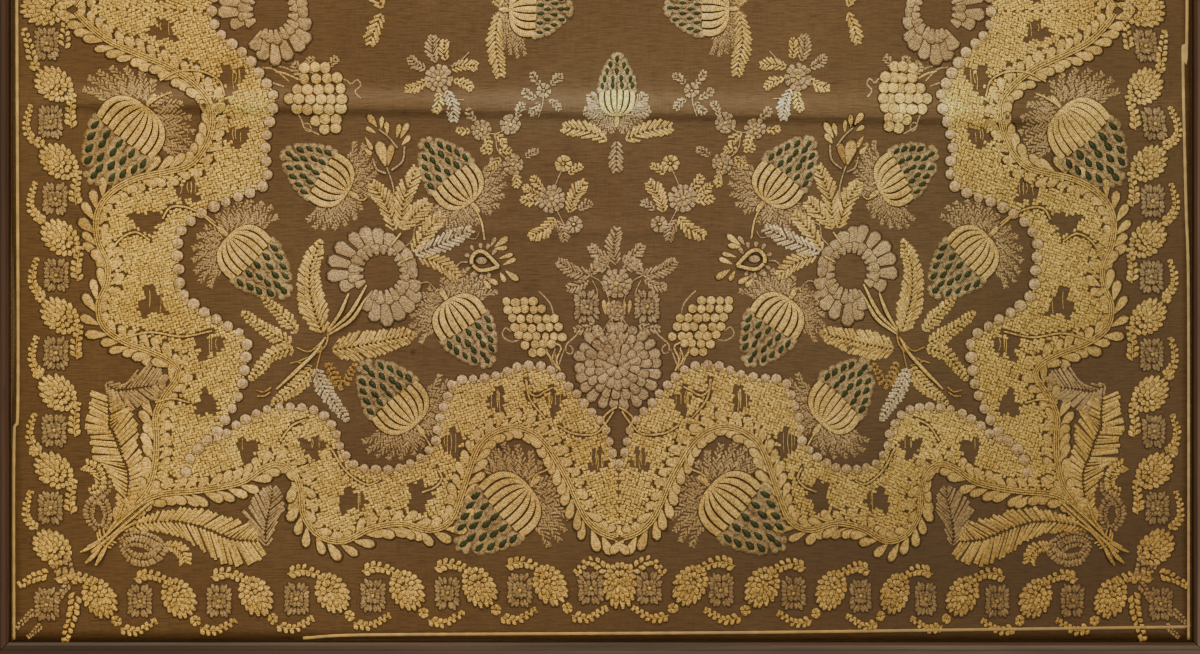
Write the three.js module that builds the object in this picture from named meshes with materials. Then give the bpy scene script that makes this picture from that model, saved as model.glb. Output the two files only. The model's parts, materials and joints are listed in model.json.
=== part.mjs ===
// A square silk panel, embroidered all over, stitched to a linen-covered board in a plain
// wooden frame. It lies on its back: +X is to the right of the work, +Y its top, +Z out of
// its face. The origin is the middle of the back. All sizes are millimetres.

import * as THREE from 'three';

// Sight opening of the frame, which the silk all but fills
const SIGHT_WIDTH = 721;
const SIGHT_HEIGHT = 770.4;

// Wooden rails
const RAIL_WIDTH = 24;
const RAIL_DEPTH = 18;
const REBATE_WIDTH = 6;
const REBATE_DEPTH = 8;
const EDGE_ROUND = 2.5;
const SIGHT_BEVEL = 1.6;
const BEAD_WIDTH = 4.5;
const BEAD_DROP = 1.2;
const ROUND_STEPS = 4;

// Gap between pieces that touch on the real thing
const GAP = 0.3;

// Silk sheet
const SILK_THICKNESS = 1.2;
const SILK_TRIM = 0.8;
const EDGE_HOLD = 26;
const CELL = 34;
const CLOSEST_LINES = 2.6;

// Slack of the silk between its folds: the length of each wave and its share of the height
const SLACK_HEIGHT = 0.9;
const SLACK_WAVES = [
  { along: 310, across: 230, phase: 0.4, share: 0.5 },
  { along: -170, across: 260, phase: 1.9, share: 0.3 },
  { along: 120, across: -150, phase: 4.1, share: 0.2 },
];

// Folds that run across the silk, from its left edge to its right one. at is the height of the
// crest at mid width, slope its drift, up and down the reach of its two flanks, rise its
// height, and from and to where it starts and dies out.
const CROSS_FOLDS = [
  { at: -62, slope: -0.017, up: 15, down: 6, rise: 3.4, from: -420, to: 372 },
  { at: -135, slope: 0.004, up: 8, down: 5, rise: 1.3, from: -150, to: 150 },
  { at: -205, slope: 0.0, up: 6, down: 4, rise: 0.9, from: -240, to: 330 },
  { at: -229, slope: 0.006, up: 11, down: 9, rise: 1.5, from: -170, to: 60 },
  { at: 118, slope: 0.012, up: 9, down: 12, rise: 1.8, from: -300, to: 260 },
];

// Folds that run up the silk, with the same columns
const LONG_FOLDS = [
  { at: 12, slope: 0.006, up: 13, down: 10, rise: 1.3, from: -375, to: 200 },
  { at: -47, slope: 0.03, up: 6, down: 5, rise: 1.0, from: -125, to: -62 },
  { at: 205, slope: -0.02, up: 8, down: 8, rise: 0.9, from: -300, to: -60 },
];

// Where the silk's edge is drawn in from the frame: the middle and half length of each dip,
// and how deep it goes
const EDGE_DIPS = {
  left: [{ at: -192, half: 78, depth: 2.2 }],
  right: [{ at: 150, half: 120, depth: 0.9 }],
  bottom: [{ at: -120, half: 140, depth: 0.7 }],
  top: [{ at: 60, half: 160, depth: 0.8 }],
};

// Cream braid sewn down near the edges
const BRAID_WIDTH = 1.8;
const BRAID_HEIGHT = 0.8;
const BRAID_CROWN = 0.55;
const BRAID_STEP = 14;

// Points along each braid: its distance in from the sight edge at each place along the edge
const BRAID_PATHS = {
  left: [
    { along: -384, inset: 2.1 }, { along: -262, inset: 2.2 }, { along: -235, inset: 4.6 },
    { along: -30, inset: 4.0 }, { along: 170, inset: 3.3 }, { along: 384, inset: 3.2 },
  ],
  right: [
    { along: -384, inset: 2.3 }, { along: -177, inset: 2.4 }, { along: -116, inset: 4.0 },
    { along: -24, inset: 5.8 }, { along: -1, inset: 3.3 }, { along: 384, inset: 3.6 },
  ],
  bottom: [
    { along: -182, inset: 2.0 }, { along: -150, inset: 3.9 }, { along: -60, inset: 4.6 },
    { along: 90, inset: 5.5 }, { along: 240, inset: 7.4 }, { along: 356.5, inset: 8.9 },
  ],
  top: [
    { along: -355.6, inset: 6.0 }, { along: -80, inset: 4.9 }, { along: 150, inset: 5.4 },
    { along: 355.2, inset: 6.2 },
  ],
};

const wood = new THREE.MeshStandardMaterial({ color: 0x4a2e1b, roughness: 0.45, metalness: 0 });
const linen = new THREE.MeshStandardMaterial({ color: 0x96805a, roughness: 0.95, metalness: 0 });
const silk = new THREE.MeshStandardMaterial({ color: 0x7a5e41, roughness: 0.6, metalness: 0 });
const cream = new THREE.MeshStandardMaterial({ color: 0xd2b77e, roughness: 0.7, metalness: 0 });

const board = {
  top: REBATE_DEPTH - GAP,
  halfWidth: SIGHT_WIDTH / 2 + REBATE_WIDTH - GAP,
  halfHeight: SIGHT_HEIGHT / 2 + REBATE_WIDTH - GAP,
};

const object = new THREE.Group();

function add(name, geometry, material) {
  const mesh = new THREE.Mesh(geometry, material);
  mesh.name = name;
  object.add(mesh);
  return mesh;
}

// Section of a rail: x is the distance out from the sight edge and y the height over the back
function railSection() {
  const section = new THREE.Shape();
  const roundCentre = RAIL_WIDTH - EDGE_ROUND;
  section.moveTo(0, REBATE_DEPTH);
  section.lineTo(REBATE_WIDTH, REBATE_DEPTH);
  section.lineTo(REBATE_WIDTH, 0);
  section.lineTo(RAIL_WIDTH, 0);
  section.lineTo(RAIL_WIDTH, RAIL_DEPTH - EDGE_ROUND);
  section.absarc(roundCentre, RAIL_DEPTH - EDGE_ROUND, EDGE_ROUND, 0, Math.PI / 2, false);
  section.lineTo(BEAD_WIDTH, RAIL_DEPTH);
  section.lineTo(BEAD_WIDTH, RAIL_DEPTH - BEAD_DROP);
  section.lineTo(SIGHT_BEVEL, RAIL_DEPTH - BEAD_DROP);
  section.lineTo(0, RAIL_DEPTH - BEAD_DROP - SIGHT_BEVEL);
  section.closePath();
  return section;
}

// A rail beside a sight edge of that length, its ends mitred to meet the next rails
function railGeometry(sightLength) {
  const settings = { depth: 1, bevelEnabled: false, curveSegments: ROUND_STEPS };
  const geometry = new THREE.ExtrudeGeometry(railSection(), settings);
  const place = geometry.getAttribute('position');
  for (let i = 0; i < place.count; i += 1) {
    const end = place.getZ(i) > 0.5 ? 1 : -1;
    place.setZ(i, end * (sightLength / 2 + place.getX(i) - GAP / Math.SQRT2));
  }
  // The section stands up along z, and the rail runs along y.
  geometry.rotateX(Math.PI / 2);
  geometry.computeVertexNormals();
  return geometry;
}

const RAILS = [
  { name: 'frame_rail_right', turn: 0, out: SIGHT_WIDTH / 2, length: SIGHT_HEIGHT },
  { name: 'frame_rail_top', turn: 1, out: SIGHT_HEIGHT / 2, length: SIGHT_WIDTH },
  { name: 'frame_rail_left', turn: 2, out: SIGHT_WIDTH / 2, length: SIGHT_HEIGHT },
  { name: 'frame_rail_bottom', turn: 3, out: SIGHT_HEIGHT / 2, length: SIGHT_WIDTH },
];

for (const { name, turn, out, length } of RAILS) {
  const angle = (turn * Math.PI) / 2;
  const rail = add(name, railGeometry(length), wood);
  rail.position.set(out * Math.cos(angle), out * Math.sin(angle), 0);
  rail.rotation.z = angle;
}

const mount = add(
  'linen_mount',
  new THREE.BoxGeometry(2 * board.halfWidth, 2 * board.halfHeight, board.top),
  linen,
);
mount.position.z = board.top / 2;

// 0 to 1 and back to 0 as t goes from -1 to 1
function swell(t) {
  return Math.abs(t) >= 1 ? 0 : 0.5 + 0.5 * Math.cos(Math.PI * t);
}

// 0 at or below start, 1 at or above end
function ease(start, end, value) {
  return THREE.MathUtils.smoothstep(value, start, end);
}

function foldRise(fold, across, along) {
  const offset = across - fold.at - fold.slope * along;
  const flank = offset > 0 ? fold.up : fold.down;
  const fadeLength = 0.2 * (fold.to - fold.from);
  const fade =
    ease(fold.from, fold.from + fadeLength, along) * ease(-fold.to, fadeLength - fold.to, -along);
  return fold.rise * swell(offset / flank) * fade;
}

// How far the silk stands off the board at x, y: slack, folds, and held down at its edges
function lift(x, y) {
  let slack = 0.5;
  for (const wave of SLACK_WAVES) {
    const turns = x / wave.along + y / wave.across;
    slack += 0.5 * wave.share * Math.sin(2 * Math.PI * turns + wave.phase);
  }
  let rise = SLACK_HEIGHT * slack;
  for (const fold of CROSS_FOLDS) rise += foldRise(fold, y, x);
  for (const fold of LONG_FOLDS) rise += foldRise(fold, x, y);
  const edge = Math.min(SIGHT_WIDTH / 2 - Math.abs(x), SIGHT_HEIGHT / 2 - Math.abs(y));
  return rise * ease(0, EDGE_HOLD, edge);
}

// Lines of the silk's grid along one side: even steps, and more of them over each fold
function gridLines(half, folds) {
  const steps = Math.round((2 * half) / CELL);
  const wanted = [-half, half];
  for (const fold of folds) {
    const middle = fold.at + (fold.slope * (fold.from + fold.to)) / 2;
    for (const share of [-1, -0.5, 0]) wanted.push(middle + share * fold.down);
    for (const share of [0.5, 1]) wanted.push(middle + share * fold.up);
  }
  for (let i = 1; i < steps; i += 1) wanted.push(-half + (2 * half * i) / steps);
  const kept = [];
  for (const line of wanted) {
    if (kept.every((other) => Math.abs(other - line) > CLOSEST_LINES)) kept.push(line);
  }
  return kept.sort((a, b) => a - b);
}

function dipAt(side, along) {
  return EDGE_DIPS[side].reduce((sum, dip) => sum + dip.depth * swell((along - dip.at) / dip.half), 0);
}

// Where a point of the grid lies, with the outermost lines drawn in by the dips
function silkPoint(x, y, halfWidth, halfHeight) {
  let px = x;
  let py = y;
  if (x === halfWidth) px -= dipAt('right', y);
  if (x === -halfWidth) px += dipAt('left', y);
  if (y === halfHeight) py -= dipAt('top', x);
  if (y === -halfHeight) py += dipAt('bottom', x);
  return [px, py, board.top + GAP + lift(px, py)];
}

// A closed sheet over a grid of points: point(i, j) is its underside
function sheetGeometry(columns, rows, thickness, point) {
  const positions = [];
  for (const side of [0, thickness]) {
    for (let j = 0; j < rows; j += 1) {
      for (let i = 0; i < columns; i += 1) {
        const [x, y, z] = point(i, j);
        positions.push(x, y, z + side);
      }
    }
  }
  const faces = [];
  const layer = columns * rows;
  const at = (i, j, up) => up * layer + j * columns + i;
  const quad = (a, b, c, d) => faces.push(a, b, c, a, c, d);
  for (let j = 0; j < rows - 1; j += 1) {
    for (let i = 0; i < columns - 1; i += 1) {
      quad(at(i, j, 1), at(i + 1, j, 1), at(i + 1, j + 1, 1), at(i, j + 1, 1));
      quad(at(i, j, 0), at(i, j + 1, 0), at(i + 1, j + 1, 0), at(i + 1, j, 0));
    }
  }
  for (let i = 0; i < columns - 1; i += 1) {
    quad(at(i, 0, 0), at(i + 1, 0, 0), at(i + 1, 0, 1), at(i, 0, 1));
    quad(at(i + 1, rows - 1, 0), at(i, rows - 1, 0), at(i, rows - 1, 1), at(i + 1, rows - 1, 1));
  }
  for (let j = 0; j < rows - 1; j += 1) {
    quad(at(0, j + 1, 0), at(0, j, 0), at(0, j, 1), at(0, j + 1, 1));
    quad(at(columns - 1, j, 0), at(columns - 1, j + 1, 0), at(columns - 1, j + 1, 1), at(columns - 1, j, 1));
  }
  const geometry = new THREE.BufferGeometry();
  geometry.setAttribute('position', new THREE.Float32BufferAttribute(positions, 3));
  geometry.setIndex(faces);
  geometry.computeVertexNormals();
  return geometry;
}

const silkHalfWidth = SIGHT_WIDTH / 2 - SILK_TRIM;
const silkHalfHeight = SIGHT_HEIGHT / 2 - SILK_TRIM;
const silkColumns = gridLines(silkHalfWidth, LONG_FOLDS);
const silkRows = gridLines(silkHalfHeight, CROSS_FOLDS);

add(
  'silk_panel',
  sheetGeometry(silkColumns.length, silkRows.length, SILK_THICKNESS, (i, j) =>
    silkPoint(silkColumns[i], silkRows[j], silkHalfWidth, silkHalfHeight),
  ),
  silk,
);

// Height of the silk's own flat-faced top at x, y, between the lines of its grid
function silkTop(x, y) {
  const cellOf = (lines, value) => {
    const next = lines.findIndex((line) => line > value);
    return next < 1 ? lines.length - 2 : next - 1;
  };
  const i = cellOf(silkColumns, x);
  const j = cellOf(silkRows, y);
  const s = (x - silkColumns[i]) / (silkColumns[i + 1] - silkColumns[i]);
  const t = (y - silkRows[j]) / (silkRows[j + 1] - silkRows[j]);
  const rise = (di, dj) => lift(silkColumns[i + di], silkRows[j + dj]);
  const low = THREE.MathUtils.lerp(rise(0, 0), rise(1, 0), s);
  const high = THREE.MathUtils.lerp(rise(0, 1), rise(1, 1), s);
  return board.top + GAP + SILK_THICKNESS + THREE.MathUtils.lerp(low, high, t);
}

// A braid along one edge: a low crowned section, carried on the silk along its path
function braidGeometry(side) {
  const path = BRAID_PATHS[side];
  const upright = side === 'left' || side === 'right';
  const outward = side === 'left' || side === 'bottom' ? -1 : 1;
  const edge = outward * (upright ? SIGHT_WIDTH / 2 : SIGHT_HEIGHT / 2);
  const curve = new THREE.CatmullRomCurve3(
    path.map(({ along, inset }) => {
      const off = edge - outward * inset;
      return upright ? new THREE.Vector3(off, along, 0) : new THREE.Vector3(along, off, 0);
    }),
    false,
    'centripetal',
  );
  const steps = Math.ceil(curve.getLength() / BRAID_STEP);
  const section = [
    [-0.5, 0], [0.5, 0], [0.5, BRAID_CROWN], [0, 1], [-0.5, BRAID_CROWN],
  ];
  const positions = [];
  const faces = [];
  for (let k = 0; k <= steps; k += 1) {
    const spot = curve.getPointAt(k / steps);
    const way = curve.getTangentAt(k / steps);
    const base = silkTop(spot.x, spot.y) + GAP;
    for (const [across, up] of section) {
      const off = across * BRAID_WIDTH;
      positions.push(spot.x - way.y * off, spot.y + way.x * off, base + up * BRAID_HEIGHT);
    }
  }
  const count = section.length;
  for (let k = 0; k < steps; k += 1) {
    for (let n = 0; n < count; n += 1) {
      const a = k * count + n;
      const b = k * count + ((n + 1) % count);
      faces.push(a, b, a + count, b, b + count, a + count);
    }
  }
  const last = steps * count;
  for (let n = 1; n < count - 1; n += 1) {
    faces.push(0, n + 1, n);
    faces.push(last, last + n, last + n + 1);
  }
  const geometry = new THREE.BufferGeometry();
  geometry.setAttribute('position', new THREE.Float32BufferAttribute(positions, 3));
  geometry.setIndex(faces);
  geometry.computeVertexNormals();
  return geometry;
}

for (const side of Object.keys(BRAID_PATHS)) add(`braid_${side}`, braidGeometry(side), cream);

export default object;
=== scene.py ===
"""A framed silk embroidery, dressed for rendering.

The silk lies on its mount with its slack and its folds. All the needlework is drawn flat, in
the steps of one drawing grid, as the quarter of the pattern that lies at the lower left. It
is then laid out over the four quarters and raised onto the surface of the silk. Geometry
Nodes make the stitches from points and the couched cords from paths.
"""

import json
import math
from collections import namedtuple

import bpy
import numpy as np
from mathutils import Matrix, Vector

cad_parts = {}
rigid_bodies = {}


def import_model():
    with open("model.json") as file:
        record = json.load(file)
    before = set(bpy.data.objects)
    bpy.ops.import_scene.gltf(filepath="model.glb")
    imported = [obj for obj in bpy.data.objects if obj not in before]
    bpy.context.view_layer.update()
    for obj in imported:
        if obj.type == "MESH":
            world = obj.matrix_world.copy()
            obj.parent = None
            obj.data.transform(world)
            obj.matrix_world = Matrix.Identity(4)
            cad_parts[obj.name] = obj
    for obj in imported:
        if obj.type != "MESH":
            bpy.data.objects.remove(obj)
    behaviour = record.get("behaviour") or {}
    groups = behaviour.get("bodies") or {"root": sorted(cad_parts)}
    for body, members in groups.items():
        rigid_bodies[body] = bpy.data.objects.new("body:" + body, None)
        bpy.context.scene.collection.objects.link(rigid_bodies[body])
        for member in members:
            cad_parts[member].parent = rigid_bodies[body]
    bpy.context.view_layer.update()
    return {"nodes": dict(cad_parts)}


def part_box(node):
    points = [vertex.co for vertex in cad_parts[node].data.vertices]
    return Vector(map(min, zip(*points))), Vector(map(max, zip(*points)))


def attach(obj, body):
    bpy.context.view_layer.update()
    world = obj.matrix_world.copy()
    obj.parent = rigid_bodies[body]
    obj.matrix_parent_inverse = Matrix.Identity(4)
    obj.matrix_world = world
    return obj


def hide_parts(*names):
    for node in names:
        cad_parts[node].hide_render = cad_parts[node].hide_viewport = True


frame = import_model()

bl_info = {
    "name": "Framed silk embroidery",
    "version": (1, 0, 0),
    "blender": (4, 5, 0),
    "location": "View3D > Sidebar > Embroidery",
    "description": "Dresses a framed silk panel with its folds and needlework",
    "category": "Object",
}

MM = 0.001
MOUNT_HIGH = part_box("linen_mount")[1]

# The frame's rails lip over the mount by their rebate, and leave this opening
REBATE = 6 * MM
GAP = 0.3 * MM
SIGHT_HALF_WIDTH = MOUNT_HIGH.x - REBATE + GAP
SIGHT_HALF_HEIGHT = MOUNT_HIGH.y - REBATE + GAP

# One step of the drawing grid. A spot of the pattern is a complex number: its real part is
# the way out from the upright middle line, and its imaginary part the way down from the
# level one, both in steps.
GRID = 0.61 * MM
MIDDLE_LINE = 10.1 * MM
# The right half was drawn a little wider near the middle and narrower at the side.
RIGHT_NEAR = 1.02
RIGHT_FAR = 0.95
RIGHT_TOP_PINCH = 0.035
PINCH_FROM, PINCH_TO = 140, 350
TOP_REACH = 130

LEFT, RIGHT, LOWER, UPPER = -1, 1, -1, 1
QUARTERS = ((LEFT, LOWER), (RIGHT, LOWER), (LEFT, UPPER), (RIGHT, UPPER))
# Motifs on a middle line are drawn whole, so they are laid out on two sides or once.
ON_UPRIGHT = ((LEFT, LOWER), (LEFT, UPPER))
ON_LEVEL = ((LEFT, LOWER), (RIGHT, LOWER))


def records(kind, *rows):
    """One record of that kind for each row."""
    return tuple(kind(*row) for row in rows)


def tint(code):
    """Linear red, green and blue of a paint written as six hex digits."""
    parts = [int(code[i : i + 2], 16) / 255 for i in (0, 2, 4)]
    return tuple(c / 12.92 if c <= 0.04045 else ((c + 0.055) / 1.055) ** 2.4 for c in parts)


def paint(name, description, code):
    return bpy.props.FloatVectorProperty(
        name=name, description=description, subtype="COLOR", size=3, min=0, max=1,
        default=tint(code),
    )


class EmbroiderySettings(bpy.types.PropertyGroup):
    """Sizes and colours of the cloth, the threads and the wood."""

    silk: paint("Silk", "Ground of the panel", "584125")
    gold: paint("Gold floss", "Padded leaves and lobes", "f0ca6f")
    pale: paint("Pale floss", "The lightest leaves", "f0d7a0")
    deep: paint("Deep gold floss", "Small leaves and stems", "c69c50")
    lace: paint("Couched thread", "Basket filling of the bands", "fcd672")
    grey: paint("Grey floss", "Faded round stitches and ferny leaves", "c8aa74")
    fern: paint("Fern floss", "Faded leaves of the fruit", "c2a36c")
    tan: paint("Tan floss", "Petals of the large flowers", "c8aa74")
    net: paint("Seed net", "Ground around the seeds", "bca16c")
    green: paint("Green floss", "Seeds", "33451c")
    braid: paint("Braid", "Ribbon along the edges", "c8a662")
    linen: paint("Linen", "Cloth over the mount", "7d6741")
    wood: paint("Wood", "Stain of the frame", "351f12")
    thread: bpy.props.FloatProperty(
        name="Thread pitch", description="Distance between threads in a stitch",
        default=1.0 * MM, unit="LENGTH", precision=5,
    )
    plumpness: bpy.props.FloatProperty(
        name="Plumpness", description="How high the padded stitches stand",
        default=1.0, min=0.2, max=2.0,
    )
    unevenness: bpy.props.FloatProperty(
        name="Unevenness", description="How far a stitch may turn from its drawn way",
        default=math.radians(3.5), subtype="ANGLE",
    )
    silk_thickness: bpy.props.FloatProperty(
        name="Silk thickness", description="Thickness of the silk with its backing of stitches",
        default=1.2 * MM, unit="LENGTH", precision=5,
    )


class StageSettings(bpy.types.PropertyGroup):
    """Floor, camera and lights."""

    floor: bpy.props.FloatProperty(
        name="Floor", description="Half the side of the floor", default=6.0, unit="LENGTH",
    )
    floor_colour: bpy.props.FloatVectorProperty(
        name="Floor colour", description="Pale surface under the work", subtype="COLOR",
        size=3, min=0, max=1, default=(0.72, 0.70, 0.67),
    )
    lens: bpy.props.FloatProperty(
        name="Lens", description="Focal length of the camera in millimetres", default=85,
    )
    view_width: bpy.props.FloatProperty(
        name="View width", description="Width of work that the camera takes in",
        default=1200 * GRID, unit="LENGTH",
    )
    window: bpy.props.FloatProperty(
        name="Window light", description="Power of the large light past the top edge",
        default=66, unit="POWER",
    )
    ceiling: bpy.props.FloatProperty(
        name="Ceiling light", description="Power of the light overhead",
        default=36, unit="POWER",
    )


# How the silk lies

# Slack between the folds: millimetres to a wave each way, its phase and its share
SLACK_HEIGHT = 0.9 * MM
SLACK_WAVES = (
    dict(along=310, across=230, phase=0.4, share=0.5),
    dict(along=-170, across=260, phase=1.9, share=0.3),
    dict(along=120, across=-150, phase=4.1, share=0.2),
)
EDGE_HOLD = 26 * MM

# Folds: the crest's place at the middle of the panel and its drift, the reach of its upper
# (or right) and lower (or left) flank, its rise, and where it starts and dies out, in mm
Fold = namedtuple("Fold", "at slope up down rise start end")
CROSS_FOLDS = records(
    Fold,
    (-62, -0.017, 15, 6, 3.4, -420, 372),
    (-135, 0.004, 8, 5, 1.3, -150, 150),
    (-205, 0.0, 6, 4, 0.9, -240, 330),
    (-229, 0.006, 11, 9, 1.5, -170, 60),
    (118, 0.012, 9, 12, 1.8, -300, 260),
)
LONG_FOLDS = records(
    Fold,
    (12, 0.006, 13, 10, 1.3, -375, 200),
    (-47, 0.03, 6, 5, 1.0, -125, -62),
    (205, -0.02, 8, 8, 0.9, -300, -60),
)

# Soft creases too small for the solid: middle, way they run in degrees, length, breadth and
# rise (a trough where it is below nothing), in mm
Crease = namedtuple("Crease", "x y way length breadth rise")
CREASES = records(
    Crease,
    (26, -112, 100, 34, 4, 0.5),
    (38, -140, 118, 26, 4, -0.5),
    (48, -133, 112, 24, 3, 0.45),
    (-2, -150, 60, 22, 4, 0.4),
    (-30, -128, 120, 26, 3, -0.35),
    (-86, -120, 85, 22, 3, 0.35),
    (170, -52, 8, 60, 9, 0.8),
    (235, -62, -6, 50, 8, 0.7),
    (-250, -56, 4, 60, 7, 0.5),
    (-320, -130, 0, 60, 3, -0.35),
    (-318, -245, 3, 50, 3, 0.4),
    (-338, -300, 2, 40, 3, -0.3),
    (-110, -268, 2, 70, 4, 0.35),
    (90, -330, -3, 90, 4, 0.3),
    (250, -325, 2, 80, 4, 0.3),
    (330, -90, 1, 40, 4, 0.35),
    (-200, -340, -2, 80, 3, 0.25),
    (130, -175, 4, 80, 4, 0.4),
    (150, 60, 10, 90, 6, 0.5),
    (-140, 200, -8, 110, 7, 0.6),
    (80, 290, 3, 120, 6, 0.5),
)

# How far the silk's edge is drawn in from the opening, and where it dips further: middle, half
# length and depth of a dip, all in mm
SILK_TRIM = 0.8
Dip = namedtuple("Dip", "at half depth")
EDGE_DIPS = {
    "left": (Dip(-192, 78, 2.2),),
    "right": (Dip(150, 120, 0.9),),
    "bottom": (Dip(-120, 140, 0.7),),
    "top": (Dip(60, 160, 0.8),),
}


def swell(t):
    """0 to 1 and back to 0 as t goes from -1 to 1."""
    return np.where(np.abs(t) >= 1, 0.0, 0.5 + 0.5 * np.cos(np.pi * np.clip(t, -1, 1)))


def ease(start, end, value):
    """0 at or below start, 1 at or above end, smooth between."""
    t = np.clip((value - start) / (end - start), 0, 1)
    return t * t * (3 - 2 * t)


def fold_rise(fold, across, along):
    offset = across - fold.at - fold.slope * along
    flank = np.where(offset > 0, fold.up, fold.down)
    fade = 0.2 * (fold.end - fold.start)
    ends = ease(fold.start, fold.start + fade, along) * ease(-fold.end, fade - fold.end, -along)
    return fold.rise * swell(offset / flank) * ends


def crease_rise(crease, x, y):
    turn = math.radians(crease.way)
    dx, dy = x - crease.x, y - crease.y
    along = dx * math.cos(turn) + dy * math.sin(turn)
    across = dy * math.cos(turn) - dx * math.sin(turn)
    bow = 0.08 * along * along / crease.length
    return crease.rise * swell(along / crease.length) * swell((across - bow) / crease.breadth)


def silk_rise(x, y):
    """Height of the silk's underside over its lowest level at x, y, all in metres."""
    x, y = x / MM, y / MM
    slack = 0.5
    for wave in SLACK_WAVES:
        turns = x / wave["along"] + y / wave["across"]
        slack = slack + 0.5 * wave["share"] * np.sin(2 * np.pi * turns + wave["phase"])
    rise = SLACK_HEIGHT / MM * slack
    for fold in CROSS_FOLDS:
        rise = rise + fold_rise(fold, y, x)
    for fold in LONG_FOLDS:
        rise = rise + fold_rise(fold, x, y)
    for crease in CREASES:
        rise = rise + crease_rise(crease, x, y)
    edge = np.minimum(SIGHT_HALF_WIDTH / MM - np.abs(x), SIGHT_HALF_HEIGHT / MM - np.abs(y))
    return np.maximum(rise, 0) * ease(0, EDGE_HOLD / MM, edge) * MM


def silk_top(x, y):
    """Height of the silk's worked face at x, y."""
    return MOUNT_HIGH.z + GAP + settings().silk_thickness + silk_rise(x, y)


# Where the pattern falls on the panel

# Slow drift of the hand drawing: how far it strays and over what length, in metres
STRAY = 1.1 * MM
STRAY_LENGTH = 0.16


def on_panel(spots, side, half):
    """Places on the panel, as x + iy in metres, of spots of the pattern in one quarter."""
    spots = np.asarray(spots, complex)
    out, down = side * spots.real, spots.imag
    pinch = ease(PINCH_FROM, PINCH_TO, np.abs(out))
    far = RIGHT_NEAR - RIGHT_FAR + RIGHT_TOP_PINCH * np.clip(1 - np.abs(down) / TOP_REACH, 0, 1)
    x = MIDDLE_LINE + GRID * out * np.where(out > 0, RIGHT_NEAR - far * pinch, 1)
    y = half * GRID * down
    stray_x = np.sin(2 * y / STRAY_LENGTH + 5 * x) * np.cos(x / STRAY_LENGTH)
    stray_y = np.sin(2.3 * x / STRAY_LENGTH + 1) * np.cos(y / STRAY_LENGTH + 0.6)
    return x + STRAY * stray_x + 1j * (y + STRAY * stray_y)


# Broad washes over silk and threads: tones of age, darker towards the lower right, painted
# highlights on the crest of the top fold and beside it, and painted shade along the lower
# soft fold. Middle and reach in mm, and the factor on each colour
Wash = namedtuple("Wash", "x y wide tall red green blue")
TONES_AND_PAINTED_LIGHT = records(
    Wash,
    # painted highlight along the crest of the top fold
    (0, -56, 430, 9, 1.25, 1.34, 1.5),
    (-330, -190, 110, 330, 0.96, 0.88, 0.66),
    (0, -372, 420, 60, 0.95, 0.85, 0.66),
    (10, -120, 210, 110, 0.96, 0.95, 1.04),
    # painted highlight on the same crest near the middle
    (-20, -58, 60, 22, 1.18, 1.32, 1.48),
    # painted shade along the lower soft fold
    (60, -230, 200, 50, 0.86, 0.84, 0.84),
    (250, -150, 170, 160, 0.93, 0.99, 1.0),
    # darker towards the lower right
    (200, -345, 240, 70, 0.6, 0.59, 0.62),
    (-66, -268, 90, 34, 0.9, 0.84, 0.76),
    (150, -285, 75, 42, 0.8, 0.8, 0.82),
    (-145, -285, 60, 36, 0.9, 0.89, 0.9),
    (335, -170, 95, 200, 0.8, 0.79, 0.8),
    (262, -175, 90, 190, 0.84, 0.83, 0.82),
    (-50, -220, 140, 60, 0.96, 0.95, 1.02),
    # painted sheen above the top fold, to the right
    (180, -48, 110, 26, 1.12, 1.15, 1.16),
    (330, -330, 90, 110, 0.92, 0.86, 0.74),
    (-200, -20, 90, 60, 0.93, 0.86, 0.74),
    (340, 190, 120, 260, 0.94, 0.88, 0.72),
    (-20, 190, 260, 130, 1.03, 1.02, 1.06),
)


def tone_and_painted_light(x, y):
    """How a colour changes at x, y with age, with the painted highlights and shade of the folds,
    and darker towards the lower right: a factor for red, green and blue.
    """
    factor = np.ones((len(x), 3))
    for w in TONES_AND_PAINTED_LIGHT:
        near = np.exp(-(((x / MM - w.x) / w.wide) ** 2) - ((y / MM - w.y) / w.tall) ** 2)
        factor *= 1 + near[:, None] * (np.array((w.red, w.green, w.blue)) - 1)
    return factor


# Meshes


def settings():
    return bpy.context.scene.embroidery


def new_object(name, vertices, faces, material=None):
    mesh = bpy.data.meshes.new(name)
    mesh.from_pydata(vertices, [], faces)
    obj = bpy.data.objects.new(name, mesh)
    bpy.context.collection.objects.link(obj)
    if material:
        mesh.materials.append(material)
    return obj


def vertex_places(mesh):
    places = np.empty(len(mesh.vertices) * 3)
    mesh.vertices.foreach_get("co", places)
    return places.reshape(-1, 3)


def set_places(mesh, places):
    mesh.vertices.foreach_set("co", np.ascontiguousarray(places).ravel())
    mesh.update()


def add_attribute(mesh, name, kind, values, domain="POINT"):
    field = {"FLOAT": "value", "INT": "value", "FLOAT_VECTOR": "vector", "FLOAT_COLOR": "color"}
    layer = mesh.attributes.new(name, kind, domain)
    layer.data.foreach_set(field[kind], np.asarray(values).ravel())


def ride(obj, slot, *nodes):
    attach(obj, "root")
    if nodes:
        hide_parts(*nodes)


def grid_faces(columns, rows):
    """Faces of a grid whose points run along the columns first, seen from above."""
    i, j = np.meshgrid(np.arange(columns - 1), np.arange(rows - 1))
    a = (j * columns + i).ravel()
    return np.stack([a, a + 1, a + 1 + columns, a + columns], 1)


# Node trees


def add_node(tree, kind, inputs=(), **options):
    """A node with its options set; inputs maps a socket to a value or to another's output."""
    node = tree.nodes.new(kind)
    for key, value in options.items():
        setattr(node, key, value)
    for key, value in dict(inputs).items():
        if isinstance(value, bpy.types.NodeSocket):
            tree.links.new(value, node.inputs[key])
        else:
            node.inputs[key].default_value = value
    return node


def maths(tree, operation, a, b=0.0):
    return add_node(tree, "ShaderNodeMath", {0: a, 1: b}, operation=operation).outputs[0]


def attribute(tree, name, output="Color"):
    return add_node(tree, "ShaderNodeAttribute", attribute_name=name).outputs[output]


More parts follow.
